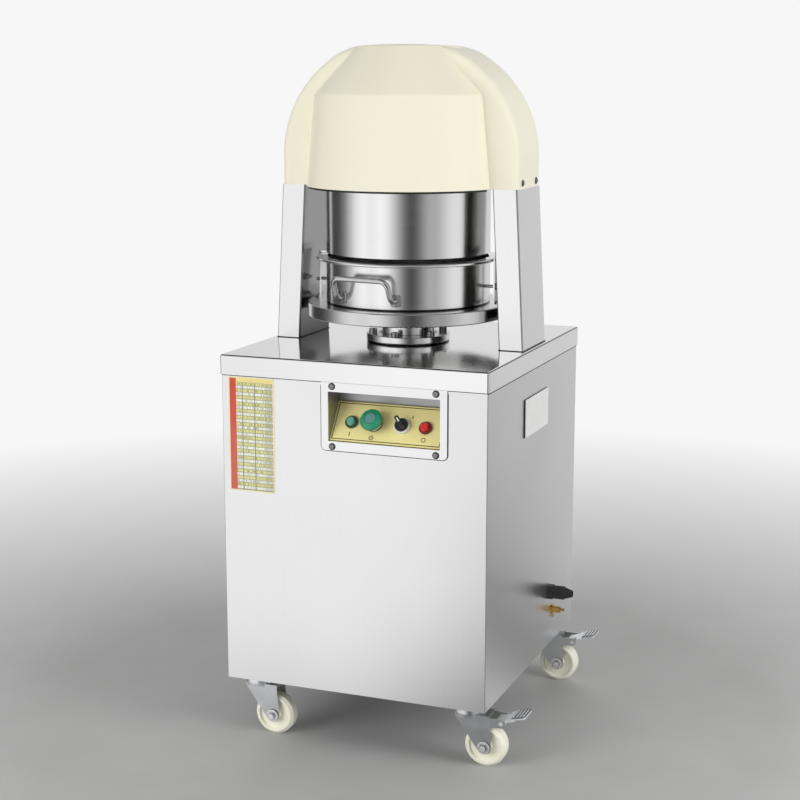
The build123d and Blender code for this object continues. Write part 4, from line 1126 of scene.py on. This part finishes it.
class DIVIDER_OT_cover_screws(bpy.types.Operator):
    """Model the cross-recessed cover screws, and the black washers of those on the bezel and the hood"""

    bl_idname = "divider.cover_screws"
    bl_label = "Cover screws"

    def execute(self, context):
        values = context.scene.divider_fittings
        spots = self.spots()
        washer = rounded_stub(values.washer_radius, values.washer_height, values.washer_height * 0.4)
        washers = set_out(washer, [(spot, outward) for spot, outward in spots if outward.y < 0.5])
        finish_piece(washers, "screw_washers", "cabinet", bpy.data.materials["seal_rubber"])
        heads = set_out(self.head(values.screw_radius, values.screw_height), spots)
        finish_piece(heads, "screw_heads", "cabinet",
                     nodes["cover_screws"].data.materials[0])
        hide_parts("cover_screws")
        return {"FINISHED"}

    def head(self, radius, height):
        """One pan head with a cross cut into it, standing on the origin along +Z."""
        head = rounded_stub(radius, height, height * 0.6)
        length, width = radius * 1.1, radius * 0.28
        for size in ((length, width, height), (width, length, height)):
            cutter = block((0, 0, height), size)
            make_active(head)
            cut = head.modifiers.new("recess", "BOOLEAN")
            cut.operation = "DIFFERENCE"
            cut.solver = "EXACT"
            cut.object = cutter
            bpy.ops.object.modifier_apply(modifier="recess")
            bpy.data.objects.remove(cutter)
        return head

    def spots(self):
        """Places of the heads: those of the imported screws, and six along the rear panel's edges."""
        places = []
        low, high = corners("control_bezel")
        inset_x, inset_z = 20.5 * mm, 7 * mm
        for across in (low.x + inset_x, high.x - inset_x):
            for rise in (low.z + inset_z, high.z - inset_z):
                places.append((Vector((across, low.y, rise)), Vector((0, -1, 0))))
        low, high = corners("hood")
        above_edge = 10.5 * mm
        for edge, side in ((low.x, -1), (high.x, 1)):
            for along in (-29.5 * mm, 51.5 * mm):
                places.append((Vector((edge, along, low.z + above_edge)), Vector((side, 0, 0))))
        low, high = corners("rear_panel")
        inset_x, inset_z, sink = 11 * mm, 20 * mm, 0.6 * mm
        for across in (low.x + inset_x, high.x - inset_x):
            for rise in (low.z + inset_z, (low.z + high.z) / 2, high.z - inset_z):
                places.append((Vector((across, high.y - sink, rise)), Vector((0, 1, 0))))
        return places


class DIVIDER_PT_panel(bpy.types.Panel):
    """Lists the dressing steps"""

    bl_idname = "DIVIDER_PT_panel"
    bl_label = "Dough divider"
    bl_space_type = "VIEW_3D"
    bl_region_type = "UI"
    bl_category = "Divider"

    def draw(self, context):
        for step in STEPS:
            self.layout.operator(step.bl_idname)


STEPS = (
    DIVIDER_OT_stage, DIVIDER_OT_cabinet, DIVIDER_OT_turned, DIVIDER_OT_hood, DIVIDER_OT_controls,
    DIVIDER_OT_knife_head, DIVIDER_OT_drive, DIVIDER_OT_casters, DIVIDER_OT_axle_trim, DIVIDER_OT_seals,
    DIVIDER_OT_side_fittings, DIVIDER_OT_chart_plate, DIVIDER_OT_side_plate, DIVIDER_OT_pointer,
    DIVIDER_OT_rivets, DIVIDER_OT_cover_screws,
)
GROUPS = {
    "divider_stage": DividerStage, "divider_finishes": DividerFinishes, "divider_plates": DividerPlates,
    "divider_fittings": DividerFittings,
}
CLASSES = (*GROUPS.values(), *STEPS, DIVIDER_PT_panel)


def register():
    for entry in CLASSES:
        bpy.utils.register_class(entry)
    for name, group in GROUPS.items():
        setattr(bpy.types.Scene, name, PointerProperty(type=group))


def unregister():
    for name in GROUPS:
        delattr(bpy.types.Scene, name)
    for entry in reversed(CLASSES):
        bpy.utils.unregister_class(entry)


def main():
    register()
    bpy.ops.divider.stage()
    bpy.ops.divider.cabinet()
    bpy.ops.divider.turned()
    bpy.ops.divider.hood()
    bpy.ops.divider.controls()
    bpy.ops.divider.knife_head()
    bpy.ops.divider.drive()
    bpy.ops.divider.casters()
    bpy.ops.divider.axle_trim()
    bpy.ops.divider.seals()
    bpy.ops.divider.side_fittings()
    bpy.ops.divider.chart_plate()
    bpy.ops.divider.side_plate()
    bpy.ops.divider.pointer()
    bpy.ops.divider.rivets()
    bpy.ops.divider.cover_screws()


if __name__ == "__main__":
    main()
